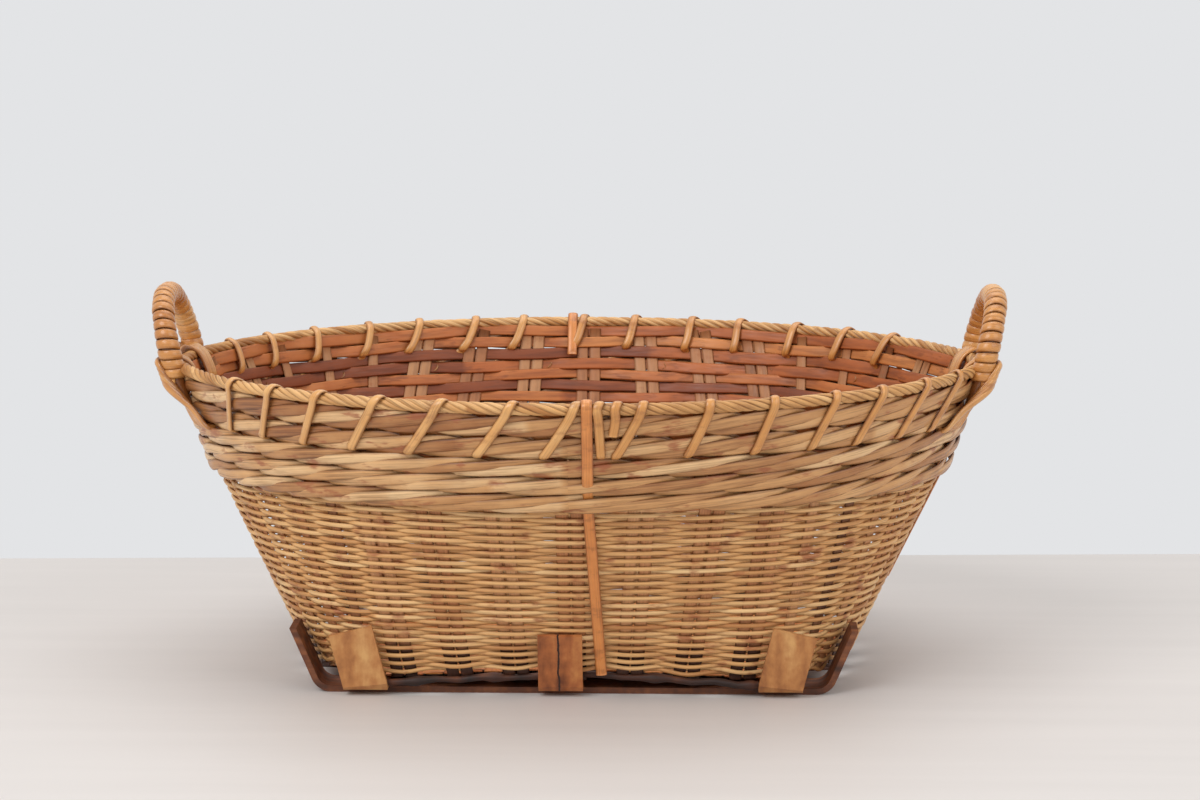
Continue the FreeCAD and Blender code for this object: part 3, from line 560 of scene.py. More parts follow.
@dataclass(frozen=True)
class LathFinish:
    """Thick split bamboo or wood with grain along one axis, mottled and darkened by use."""

    name: str
    dark: Colour
    middle: Colour
    pale: Colour
    grain: Triple
    roughness: float = 0.6
    split_width: float = 0.0011
    deep: Colour = (44, 22, 12)

    def material(self, split: float | None = None) -> bpy.types.Material:
        """The finish as a material.

        Args:
            split: Place of a dark split across the lath, if it has one.

        Returns:
            The material.
        """
        graph = NodeGraph(self.name)
        spot = graph.add("ShaderNodeTexCoord").outputs["Object"]
        grain = graph.noise(spot, self.grain, 6.0)
        mottle = graph.noise(spot, MOTTLE_SCALE, 6.0)
        value = graph.blend(grain, 0.62, mottle)
        if split is not None:
            across = graph.add("ShaderNodeSeparateXYZ", Vector=spot).outputs["X"]
            wobble = graph.math("MULTIPLY", graph.math("SUBTRACT", mottle, 0.5), 2 * self.split_width)
            away = graph.math("SUBTRACT", graph.math("ADD", across, wobble), split)
            inside = graph.math("LESS_THAN", graph.math("MULTIPLY", away, away), (self.split_width / 2) ** 2)
            value = graph.math("SUBTRACT", value, graph.math("MULTIPLY", inside, 0.4))
        stops = [(0.3, paint(self.dark)), (0.5, paint(self.middle)), (0.68, paint(self.pale))]
        base = graph.ramp(value, [(0.12, paint(self.deep))] + stops)
        graph.join(base, graph.shader.inputs["Base Color"])
        rough = graph.ramp(mottle, [(0.3, grey(self.roughness - 0.12)), (0.7, grey(self.roughness + 0.15))])
        graph.join(rough, graph.shader.inputs["Roughness"])
        bump = graph.add("ShaderNodeBump", Strength=0.35, Distance=GRAIN_DEPTH, Height=value)
        graph.join(bump.outputs[0], graph.shader.inputs["Normal"])
        return graph.material


WICKER = SplintFinish(
    "fine_wicker", (188, 128, 73), (225, 173, 112), (243, 204, 148), (158, 84, 48),
    stain_share=0.75, roughness=0.5, fibre=0.45,
)
# BAND's edge of 1.0 paints the strongest shade between its splints.
BAND = SplintFinish(
    "band_splint", (166, 108, 60), (212, 160, 104), (238, 200, 150), (158, 84, 48),
    stain_share=0.75, roughness=0.4, fibre=0.6, coat=0.12, edge=1.0,
)
ROPE = SplintFinish(
    "rim_splint_finish", (176, 119, 64), (210, 157, 96), (230, 184, 126), (140, 86, 48),
    stain_share=0.4, roughness=0.48, fibre=0.65,
)
CANE = SplintFinish(
    "binding_cane", (178, 110, 50), (216, 152, 82), (236, 186, 120), (146, 82, 42),
    stain_share=0.4, roughness=0.32, fibre=0.4, coat=0.4, relief=0.12,
)
INNER = SplintFinish(
    "inner_splint", (156, 80, 36), (208, 119, 58), (238, 158, 88), (116, 60, 32),
    stain_share=0.5, roughness=0.5, fibre=0.5, edge=0.5,
)
# STAKE's very dark colour also serves as painted shade on the stakes' bends and runs under the floor.
STAKE = SplintFinish(
    "stake_splint_finish", (70, 38, 22), (204, 140, 92), (226, 174, 124), (160, 92, 54),
    stain_share=0.4, roughness=0.52, fibre=0.4, edge=0.5,
)
STRAP = SplintFinish(
    "strap_cane", (182, 104, 46), (226, 145, 74), (242, 180, 108), (134, 72, 36),
    stain_share=0.4, roughness=0.34, fibre=0.4, coat=0.35, relief=0.12,
)
# Twig colours: partly the twig's own dark bark, partly painted shade of the shadowed gap under the wall's
# foot.
TWIG_AND_PAINTED_SHADE = SplintFinish(
    "dark_twig", (46, 26, 18), (84, 46, 28), (128, 76, 46), (40, 22, 16),
    stain_share=0.5, roughness=0.6, fibre=0.5,
)


# Meshes
class StrandMesh:
    """Strands swept along paths, gathered in one mesh."""

    def __init__(self) -> None:
        """Start with no strands."""
        self.points: list[Array] = []
        self.quads: list[Array] = []
        self.caps: list[Array] = []
        self.quad_uvs: list[Array] = []
        self.tones: list[Array] = []
        self.total = 0

    def sweep(
        self, path: Array, facing: Array, section: Array, tone: Array | float, closed: bool = False,
    ) -> None:
        """Add a strand.

        Args:
            path: Rows of points, in millimetres.
            facing: Direction of the section's first axis, the same all along or for each point.
            section: Corners of the section, the same all along or for each point.
            tone: Tone of the strand, the same all along or for each point.
            closed: Whether the strand joins its own start.
        """
        if closed:
            tangent = unit(np.roll(path, -1, axis=0) - np.roll(path, 1, axis=0))
        else:
            tangent = unit(np.gradient(path, axis=0))
        out = unit(facing - tangent * (facing * tangent).sum(axis=1, keepdims=True))
        side = np.cross(out, tangent)
        if section.ndim == 2:
            section = np.broadcast_to(section, (len(path),) + section.shape)
        corners = section.shape[1]
        points = path[:, None] + section[:, :, :1] * out[:, None] + section[:, :, 1:] * side[:, None]
        rows = len(path) if closed else len(path) - 1
        near = np.arange(rows)[:, None] * corners
        far = (np.arange(rows)[:, None] + 1) % len(path) * corners
        this = np.arange(corners)[None]
        following = (this + 1) % corners
        quads = np.stack([near + this, far + this, far + following, near + following], axis=-1).reshape(-1, 4)
        run = np.concatenate([[0], np.cumsum(np.linalg.norm(np.diff(path, axis=0), axis=1))])
        lengths = np.append(run, run[-1] + SEAM_LENGTH) / UV_LENGTH
        ones = np.ones((1, corners))
        start, end = lengths[:rows, None] * ones, lengths[1:rows + 1, None] * ones
        low = np.ones((rows, 1)) * this / corners
        high = low + 1 / corners
        uvs = np.stack([start, low, end, low, end, high, start, high], axis=-1).reshape(-1, 8)
        self.points.append(points.reshape(-1, 3))
        self.quads.append(quads + self.total)
        self.quad_uvs.append(uvs)
        self.tones.append(np.repeat(np.broadcast_to(tone, len(path)), corners))
        if not closed:
            self.caps.append(np.arange(corners)[::-1] + self.total)
            self.caps.append((len(path) - 1) * corners + np.arange(corners) + self.total)
        self.total += len(path) * corners

    def build(self, name: str, finish: bpy.types.Material, slot: str, nodes: list[str]) -> None:
        """Make the mesh object and tie it to the frame.

        Args:
            name: Name of the piece.
            finish: Its material.
            slot: The record's material slot; not used.
            nodes: CAD nodes that the piece stands for.
        """
        points = np.concatenate(self.points) * MM
        quads = np.concatenate(self.quads)
        sizes = np.concatenate([np.full(len(quads), 4), [len(cap) for cap in self.caps]]).astype(np.int32)
        loops = np.concatenate([quads.ravel()] + self.caps).astype(np.int32)
        uvs = np.zeros((len(loops), 2))
        uvs[:len(quads) * 4] = np.concatenate(self.quad_uvs).reshape(-1, 2)
        mesh = bpy.data.meshes.new(name)
        mesh.vertices.add(len(points))
        mesh.vertices.foreach_set("co", points.astype(np.float32).ravel())
        mesh.loops.add(len(loops))
        mesh.loops.foreach_set("vertex_index", loops)
        mesh.polygons.add(len(sizes))
        starts = np.concatenate([[0], np.cumsum(sizes)[:-1]]).astype(np.int32)
        mesh.polygons.foreach_set("loop_start", starts)
        mesh.polygons.foreach_set("use_smooth", np.ones(len(sizes), dtype=bool))
        mesh.uv_layers.new(name="UVMap").uv.foreach_set("vector", uvs.astype(np.float32).ravel())
        tones = mesh.attributes.new(TONE, "FLOAT", "POINT")
        tones.data.foreach_set("value", np.concatenate(self.tones).astype(np.float32))
        mesh.update(calc_edges=True)
        mesh.validate()
        mesh.materials.append(finish)
        piece = bpy.data.objects.new(name, mesh)
        bpy.context.scene.collection.objects.link(piece)
        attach(piece, "root")
        if nodes:
            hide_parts(*nodes)
        LOG.info("%s: %d faces", name, len(sizes))


def round_section(thick: float, wide: float, sides: int) -> Array:
    """Section of a round strand.

    Args:
        thick: Size through the wall.
        wide: Size along the wall's slope.
        sides: How many corners.

    Returns:
        Rows of corners.
    """
    turn = 2 * math.pi * (np.arange(sides) + 0.5) / sides
    return np.stack([np.cos(turn) * thick / 2, np.sin(turn) * wide / 2], axis=-1)


def splint_section(thick: float, wide: float) -> Array:
    """Section of a flat splint with rounded edges and a crowned face.

    Args:
        thick: Thickness.
        wide: Width.

    Returns:
        Rows of corners.
    """
    shares = [(0.5, 0.0), (0.42, 0.27), (0.18, 0.46), (-0.2, 0.5), (-0.5, 0.36),
              (-0.5, -0.36), (-0.2, -0.5), (0.18, -0.46), (0.42, -0.27)]
    return np.array(shares) * np.array([thick, wide])


def sized(section: Array, thick: Array | float, wide: Array) -> Array:
    """Sections along a strand whose size changes.

    Args:
        section: Corners of a section of size one.
        thick: Thickness, the same all along or for each point.
        wide: Width for each point.

    Returns:
        Rows of corners for each point.
    """
    return section[None] * np.stack(np.broadcast_arrays(thick, wide), axis=-1)[:, None]


def lay_over_rim(mesh: StrandMesh, places: Array, steps: int, section: Array, tone: float) -> None:
    """Lay a cane round the rim.

    Args:
        mesh: Mesh that takes it.
        places: Rows of distance along the rim, height and distance outward.
        steps: Steps between each two places.
        section: Its section.
        tone: Its tone.
    """
    distance, height, outward = smooth(places, steps).T
    place = PLAN.place_of(distance)
    facing = PLAN.bundle_facing(place, height, outward, PLAN.slot + PLAN.level_above_slot)
    mesh.sweep(PLAN.at(place, height, outward), facing, section, tone)


# Woven wall
@dataclass
class FineWeave:
    """Lower wall: two round weavers that climb the stakes in turn."""

    rows: int = 45
    under_band: float = 2.5
    thick: float = 2.4
    middle: float = -2.6
    swing: float = 1.75
    flatness: float = 1.7
    fill: float = 0.86
    per_stake: int = 8
    scallop: float = 1.2
    scallop_rows: float = 5.0
    arch_rows: float = 7.0
    unevenness: float = 0.22
    overlap: float = 1.03
    width_chance: float = 0.1
    swing_chance: float = 0.14
    cane_stakes: tuple[int, int] = (22, 60)
    tone_share: float = 0.7
    tone_chance: float = 0.12
    seed: int = 11

    def build(self) -> None:
        """Build both weavers."""
        rng = np.random.default_rng(self.seed)
        total = PLAN.stakes()
        pitch = (PLAN.waist_height + self.under_band - PLAN.foot - self.thick) / self.rows
        turns = self.rows / 2 - 0.5
        finish = WICKER.material()
        weavers = (("fine_weaver_first", 0, 1, ["wicker_wall"]), ("fine_weaver_second", total // 2, -1, []))
        for name, start, sign, nodes in weavers:
            stake = start + np.linspace(0, total * turns, int(total * turns * self.per_stake) + 1)
            count = len(stake)
            climb = (stake - start) / total * 2
            height = PLAN.foot + self.thick / 2 + pitch * climb
            height = height - self.scallop * np.cos(2 * math.pi * stake) * np.exp(-climb / self.scallop_rows)
            along = PLAN.at(PLAN.stake_place(stake, height), height, 0.0)[:, 0]
            height = height + PLAN.foot_lift(along) * np.exp(-climb / self.arch_rows)
            height = height + self.unevenness * wander(rng, count, self.per_stake * 2)
            beat = np.cos(math.pi * (stake - start))
            over = np.tanh(self.flatness * beat) / math.tanh(self.flatness)
            strength = self.swing * (1 + self.swing_chance * wander(rng, count, self.per_stake))
            place = PLAN.stake_place(stake, height)
            path = PLAN.at(place, height, self.middle + strength * over * sign)
            spread = self.width_chance * wander(rng, count, self.per_stake * 3)
            wide = pitch / self.fill * (self.overlap + spread)
            section = sized(round_section(1.0, 1.0, 6), self.thick, wide)
            shortest, longest = (stakes * self.per_stake for stakes in self.cane_stakes)
            tone = self.tone_share * strand_tones(rng, count, shortest, longest)
            tone = tone + (1 - self.tone_share) / 2 + self.tone_chance * wander(rng, count, self.per_stake)
            mesh = StrandMesh()
            mesh.sweep(path, PLAN.facing(place, height), section, tone)
            mesh.build(name, finish, "wicker", nodes)


@dataclass
class StakeSet:
    """Stakes: pairs of splints in the wall that cross under the floor of the basket."""

    width: float = 7.4
    gap: float = 1.0
    thick: float = 1.0
    middle: float = -2.6
    corner_width: float = 7.0
    crosswise_run: float = 8.7
    lengthwise_run: float = 7.0
    bend_share: float = 0.06
    bend_rise: float = 0.8
    upper_start: float = 128.0
    crosswise: range = range(-3, 4)
    lengthwise: range = range(7, 12)
    corners: range = range(4, 7)
    seed: int = 23

    def rise(self, stake: int, shift: float, heights: Array) -> tuple[Array, Array]:
        """Points and facings of one splint up the wall.

        Args:
            stake: Number of the stake.
            shift: Distance of the splint's middle to the right of the stake's.
            heights: Heights in order.

        Returns:
            Rows of points and of directions.
        """
        place = PLAN.stake_place(np.full(len(heights), float(stake)), heights)
        points = PLAN.at(place, heights, self.middle)
        facing = PLAN.facing(place, heights)
        along = unit(np.cross(UP[None], facing))
        return points + along * shift, facing

    def build(self) -> None:
        """Build the crosswise, lengthwise and corner stakes, with painted shade on their runs under the
        floor.
        """
        rng = np.random.default_rng(self.seed)
        finish = STAKE.material()
        lower = np.linspace(PLAN.foot, PLAN.waist_height, 9)
        heights = np.concatenate([lower, np.linspace(self.upper_start, PLAN.rim_height, 6)])
        section = splint_section(self.thick, self.width)
        half = PLAN.stakes() // 2
        kinds = {
            "crosswise": (self.crosswise, half, self.crosswise_run),
            "lengthwise": (self.lengthwise, 2 * half, self.lengthwise_run),
        }
        for kind, (numbers, mirror, run) in kinds.items():
            mesh = StrandMesh()
            for number in numbers:
                for sign in (-1, 1):
                    shift = sign * (self.width + self.gap) / 2
                    near, near_facing = self.rise(number, shift, heights)
                    far, far_facing = self.rise(mirror - number, -shift, heights)
                    bend = (far[0] - near[0]) * self.bend_share
                    bottom = np.stack([near[0], near[0] + bend, far[0] - bend, far[0]])
                    bottom[:, 2] = run + self.bend_rise * np.array([1, 0, 0, 1])
                    path = np.vstack([near[::-1], bottom, far])
                    facing = np.vstack([near_facing[::-1], np.tile(-UP, (len(bottom), 1)), far_facing])
                    tone = np.full(len(path), rng.uniform(0.4, 0.9))
                    # Painted shade: the bends and the run under the floor get the darkest tone, to read as
                    # the shadow under the basket.
                    tone[len(near) - 2:len(near) + len(bottom) + 2] = 0.0
                    mesh.sweep(path, facing, section, tone)
            mesh.build(f"{kind}_stake_pairs", finish, "stake_splint", [f"{kind}_stakes"])
        mesh = StrandMesh()
        section = splint_section(self.thick, self.corner_width)
        mirrors = ((0, 1), (half, -1), (half, 1), (2 * half, -1))
        for number in sorted(start + sign * corner for start, sign in mirrors for corner in self.corners):
            path, facing = self.rise(number, 0.0, heights)
            mesh.sweep(path, facing, section, rng.uniform(0.2, 0.8))
        mesh.build("corner_stake_splints", finish, "stake_splint", ["corner_stakes"])


@dataclass
class FlatWeave:
    """Upper wall behind the band: flat splints woven in close rows."""

    thick: float = 0.9
    middle: float = -2.6
    swing: float = 1.35
    flatness: float = 1.6
    low_inset: float = 2.0
    below_waist: float = 2.0
    into_rope: float = 3.0
    waist_rows: int = 5
    rim_rows: int = 4
    per_stake: int = 8
    lift: float = 1.6
    unevenness: float = 0.5
    overlap: float = 1.08
    width_chance: float = 0.1
    splint_steps: tuple[int, int] = (60, 150)
    seed: int = 37

    def build(self) -> None:
        """Build the rows below and above the lash line."""
        rng = np.random.default_rng(self.seed)
        finish = INNER.material()
        stake = np.arange(PLAN.stakes() * self.per_stake) / self.per_stake
        count = len(stake)
        bottom, top = PLAN.waist_height - self.below_waist, PLAN.rim_height + self.into_rope
        zones = (
            ("waist_flat_rows", "waist_weave", bottom, PLAN.lash_line, self.waist_rows),
            ("rim_flat_rows", "rim_weave", PLAN.lash_line, top, self.rim_rows),
        )
        row = 0
        for name, node, low, high, rows in zones:
            mesh = StrandMesh()
            pitch = (high - low) / rows
            for index in range(rows):
                wave = self.lift / 2 * np.sin(math.pi * stake / 2 + row)
                height = low + pitch * (index + 0.5) + wave + self.unevenness * wander(rng, count, 30)
                over = np.tanh(self.flatness * np.cos(math.pi * (stake + row)))
                place = PLAN.stake_place(stake, height)
                depth = self.middle - (self.low_inset if row == 0 else 0.0)
                path = PLAN.at(place, height, depth + self.swing * over)
                wide = pitch * (self.overlap + self.width_chance * wander(rng, count, 40))
                section = sized(splint_section(1.0, 1.0), self.thick, wide)
                tone = strand_tones(rng, count, *self.splint_steps)
                mesh.sweep(path, PLAN.facing(place, height), section, tone, closed=True)
                row += 1
            mesh.build(name, finish, "inner_weave", [node])


@dataclass(frozen=True)
class BandZone:
    """Courses of the outer band between two heights."""

    name: str
    low: float
    high: float
    courses: int
    nodes: tuple[str, ...]
    width: float
    inner: float
    outer: float
    overlap: float


@dataclass
class OuterBand:
    """Thick band outside the rim: courses of three splints, each over two stakes and behind one."""

    splints: int = 3
    thick: float = 1.9
    front: float = 0.76
    course_lag: float = 0.8
    fullness: float = 0.55
    ease_share: float = 0.4
    height_chance: float = 0.45
    depth_chance: float = 0.25
    narrow: float = 0.72
    widening: float = 0.32
    width_chance: float = 0.1
    splint_steps: tuple[int, int] = (40, 110)
    tone_share: float = 0.8
    tone_chance: float = 0.12
    per_stake: int = 8
    seed: int = 41
    zones: tuple[BandZone, ...] = (
        BandZone(
            "wale", PLAN.waist_height - 0.5, PLAN.lash_line, 3, ("wale_course_1", "", "wale_course_2"),
            width=6.3, inner=-0.2, outer=4.1, overlap=1.7,
        ),
        BandZone(
            "lashed", PLAN.lash_line, PLAN.rim_height + 0.6, 2, ("lashed_course_1", "lashed_course_2"),
            width=7.4, inner=-0.4, outer=2.4, overlap=1.4,
        ),
    )

    def build_course(self, zone: BandZone, index: int, finish: bpy.types.Material) -> None:
        """Build one course.

        Args:
            zone: Where it lies.
            index: Its number from below.
            finish: Material.
        """
        rng = np.random.default_rng(self.seed + 10 * index + int(zone.low))
        step = (zone.high - zone.low) / zone.courses
        middle = zone.low + step * (index + 0.5)
        room = (step + 2 * zone.overlap - zone.width) / 2
        mesh = StrandMesh()
        stake = np.arange(PLAN.stakes() * self.per_stake) / self.per_stake
        count = len(stake)
        for strand in range(self.splints):
            cycle = np.mod((stake + self.course_lag * index + strand) / self.splints, 1.0)
            shown = np.clip(cycle / self.front, 0, 1)
            rising = np.where(cycle < self.front, shown, 1 - (cycle - self.front) / (1 - self.front))
            ease = rising * rising * (3 - 2 * rising)
            bow = np.where(cycle < self.front, np.sin(math.pi * shown), 0.0) ** self.fullness
            climb = (1 - self.ease_share) * rising + self.ease_share * ease
            height = middle + room * (2 * climb - 1) + self.height_chance * wander(rng, count, 18)
            outward = zone.inner + (zone.outer - zone.inner) * bow
            outward = outward + self.depth_chance * wander(rng, count, 14)
            place = PLAN.stake_place(stake, height)
            path = PLAN.at(place, height, outward)
            spread = self.width_chance * wander(rng, count, 22)
            wide = zone.width * (self.narrow + self.widening * bow + spread)
            section = sized(splint_section(1.0, 1.0), self.thick, wide)
            tone = self.tone_share * strand_tones(rng, count, *self.splint_steps)
            tone = tone + (1 - self.tone_share) / 2 + self.tone_chance * wander(rng, count, 14)
            mesh.sweep(path, PLAN.facing(place, height), section, tone, closed=True)
        node = zone.nodes[index]
        mesh.build(f"{zone.name}_splints_{index + 1}", finish, "band_bamboo", [node] if node else [])

    def build(self) -> None:
        """Build the courses below and above the lash line."""
        finish = BAND.material()
        for zone in self.zones:
            for index in range(zone.courses):
                self.build_course(zone, index, finish)


@dataclass
class RimRope:
    """Rim: splints twisted into a rope that lies on the band's upper edge."""

    strands: int = 5
    lay: float = 1.95
    strand_size: float = 3.5
    twist: float = 40.0
    step: float = 2.2
    waver: float = 0.25
    wavers: int = 9
    size_share: float = 0.94
    size_chance: float = 0.1
    splint_steps: tuple[int, int] = (60, 160)
    seed: int = 53

    def build(self) -> None:
        """Build the twisted splints."""
        rng = np.random.default_rng(self.seed)
        length = 4 * PLAN.quarter()
        count = int(length / self.step)
        distance = np.arange(count) * length / count
        place = PLAN.place_of(distance)
        axis = PLAN.at(place, PLAN.rope_axis, PLAN.bundle_middle)
        level = unit(PLAN.facing(place, np.full(count, PLAN.rope_axis)) * LEVEL)
        mesh = StrandMesh()
        rounds = round(length / self.twist)
        for strand in range(self.strands):
            share = np.arange(count) / count
            angle = -2 * math.pi * (rounds * share + strand / self.strands)
            angle = angle + self.waver * np.sin(2 * math.pi * share * self.wavers)
            radial = level * np.cos(angle)[:, None] + UP * np.sin(angle)[:, None]
            path = axis + radial * self.lay
            size = self.strand_size * (self.size_share + self.size_chance * wander(rng, count, 12))
            section = sized(round_section(0.98, 1.0, 8), size, size)
            tone = strand_tones(rng, count, *self.splint_steps)
            mesh.sweep(path, radial, section, tone, closed=True)
        mesh.build("rim_rope_splints", ROPE.material(), "rim_splint", ["rim_rope"])


# Cane over the rim
@dataclass
class RimCane:
    """Flat canes that spiral over the rim and hold the band to the wall."""

    width: float = 5.6
    thick: float = 1.7
    shift: float = 7.0
    slant: float = 15.0
    tuck: float = 15.0
    outside: float = 5.2
    inside: float = -7.0
    loops: int = 7
    steps: int = 6
    place_chance: float = 1.5
    slant_chance: float = 2.0
    long_loop: tuple[float, float] = (17.5, 17.0)
    short_loop: tuple[float, float] = (24.0, 27.0)
    short_start: float = 13.0
    seed: int = 61

    def section(self) -> Array:
        """Half-round section of the cane, from the middle of its front, its back flat.

        Returns:
            Rows of corners.
        """
        turn = np.linspace(0, math.pi, 7) - math.pi / 2
        out = np.cos(turn) * self.thick * 0.75 - self.thick * 0.3
        side = np.sin(turn) * self.width / 2
        back = np.array([[-0.45, 0.4], [-0.45, -0.4]]) * np.array([self.thick, self.width])
        return np.roll(np.vstack([np.stack([out, side], axis=-1), back]), -(len(turn) // 2), axis=0)

    def over(self, bottom: float, top: float) -> list[tuple[float, float, float]]:
        """Places of one loop: out of the slot, up the outside and over the rope.

        Args:
            bottom: Distance along the rim at the slot.
            top: Distance along the rim at the rope.

        Returns:
            Distances, heights and distances outward in order.
        """
        axis, middle = PLAN.rope_axis, PLAN.bundle_middle
        return [
            (bottom, PLAN.slot - 0.6, 0.5),
            (bottom, PLAN.slot + 0.4, self.outside - 0.9),
            (bottom + (top - bottom) * 0.18, PLAN.slot + 5, self.outside - 0.6),
            (bottom + (top - bottom) * 0.8, axis - 6, self.outside - 0.4),
            (top - 0.5, axis + 0.5, middle + 5.0),
            (top + 1.5, axis + 4.4, middle + 0.6),
            (top + 2.5, axis + 1.0, self.inside + 1.8),
            (top + 5.5, axis - self.tuck * 0.6, self.inside),
            (top + 8.5, axis - self.tuck, self.inside + 1.2),
            (top + 9.5, axis - self.tuck - 3, -1.5),
        ]

    def build(self) -> None:
        """Build the four runs of cane."""
        rng = np.random.default_rng(self.seed)
        finish = CANE.material()
        quarter, spacing = PLAN.quarter(), PLAN.spacing()
        starts = {
            "front_right": 0.5 * spacing,
            "back_right": 2 * quarter - (self.loops - 0.5) * spacing,
            "back_left": 2 * quarter + 0.5 * spacing,
            "front_left": 4 * quarter - (self.loops - 0.5) * spacing,
        }
        for name, start in starts.items():
            mesh = StrandMesh()
            places: list[tuple[float, float, float]] = []
            for loop in range(self.loops):
                bottom = start + self.shift + loop * spacing
                bottom += rng.uniform(-self.place_chance, self.place_chance)
                slant = self.slant + rng.uniform(-self.slant_chance, self.slant_chance)
                places += [(bottom - 3, PLAN.slot + 4, -0.6)] + self.over(bottom, bottom + slant)
            lay_over_rim(mesh, np.array(places), self.steps, self.section(), rng.uniform(0.4, 0.7))
            mesh.build(f"rim_cane_{name}", finish, "cane", [f"lashing_{name}"])
        self.build_middle_loops(finish)

    def build_middle_loops(self, finish: bpy.types.Material) -> None:
        """Build the loops beside the front strap.

        Args:
            finish: Material of the cane.
        """
        mesh = StrandMesh()
        lay_over_rim(mesh, np.array(self.over(*self.long_loop)), self.steps, self.section(), 0.55)
        short = np.array(self.over(*self.short_loop)[2:])
        short[0, 1] = PLAN.slot + self.short_start
        lay_over_rim(mesh, short, self.steps, self.section(), 0.45)
        mesh.build("middle_loops_front", finish, "cane", [])


@dataclass
class Straps:
    """Flat straps over the rim: down the front, on the back, and on the right end."""

    width: float = 6.5
    thick: float = 1.8
    shift: float = 11.0
    slant: float = 6.0
    back_levels: int = 11
    end_length: float = 70.0
    end_outward: float = 1.5
    tone: float = 0.45
    end_tone: float = 0.5

    def build(self) -> None:
        """Build the three straps."""
        finish = STRAP.material()
        section = splint_section(self.thick, self.width)
        axis, middle = PLAN.rope_axis, PLAN.bundle_middle
        levels = np.array([
            (axis - 20, -6.7), (axis - 8, -6.7), (axis, -5.6), (axis + 4.6, middle - 2.0),
            (axis + 4.8, middle + 1.0), (axis + 1.0, middle + 5.2), (PLAN.rim_height - 4, 4.6),
            (PLAN.lash_line, 5.6), (PLAN.lash_line - 12, 6.0), (PLAN.lash_line - 19, 2.4),
            (PLAN.waist_height + 4, 1.2), (PLAN.waist_height - 4, 1.3), (70, 1.5), (30, 1.4),
            (PLAN.foot + 2, 1.3),
        ])
        straps = (
            ("front_strap", Face.FRONT, 1, "tie_front", len(levels)),
            ("back_strap", Face.BACK, -1, "tie_back", self.back_levels),
        )
        for name, face, sign, node, kept in straps:
            height, outward = smooth(levels[:kept], 6).T
            below = np.clip(PLAN.waist_height - height, 0, None) / (PLAN.waist_height - PLAN.foot)
            place = PLAN.place_of(np.full(len(height), self.shift + face.value * PLAN.quarter()))
            path = PLAN.at(place, height, outward)
            path[:, 0] = sign * (self.shift + self.slant * below)
            mesh = StrandMesh()
            mesh.sweep(path, PLAN.bundle_facing(place, height, outward, 0.0), section, self.tone)
            mesh.build(name, finish, "cane", [node])
        height = np.linspace(PLAN.waist_height - self.end_length, PLAN.waist_height - 0.3, 14)
        place = np.full(len(height), float(QUARTER_PLACES))
        mesh = StrandMesh()
        path = PLAN.at(place, height, self.end_outward)
        mesh.sweep(path, PLAN.facing(place, height), section, self.end_tone)
        mesh.build("right_end_strap", finish, "cane", ["tie_right_end"])


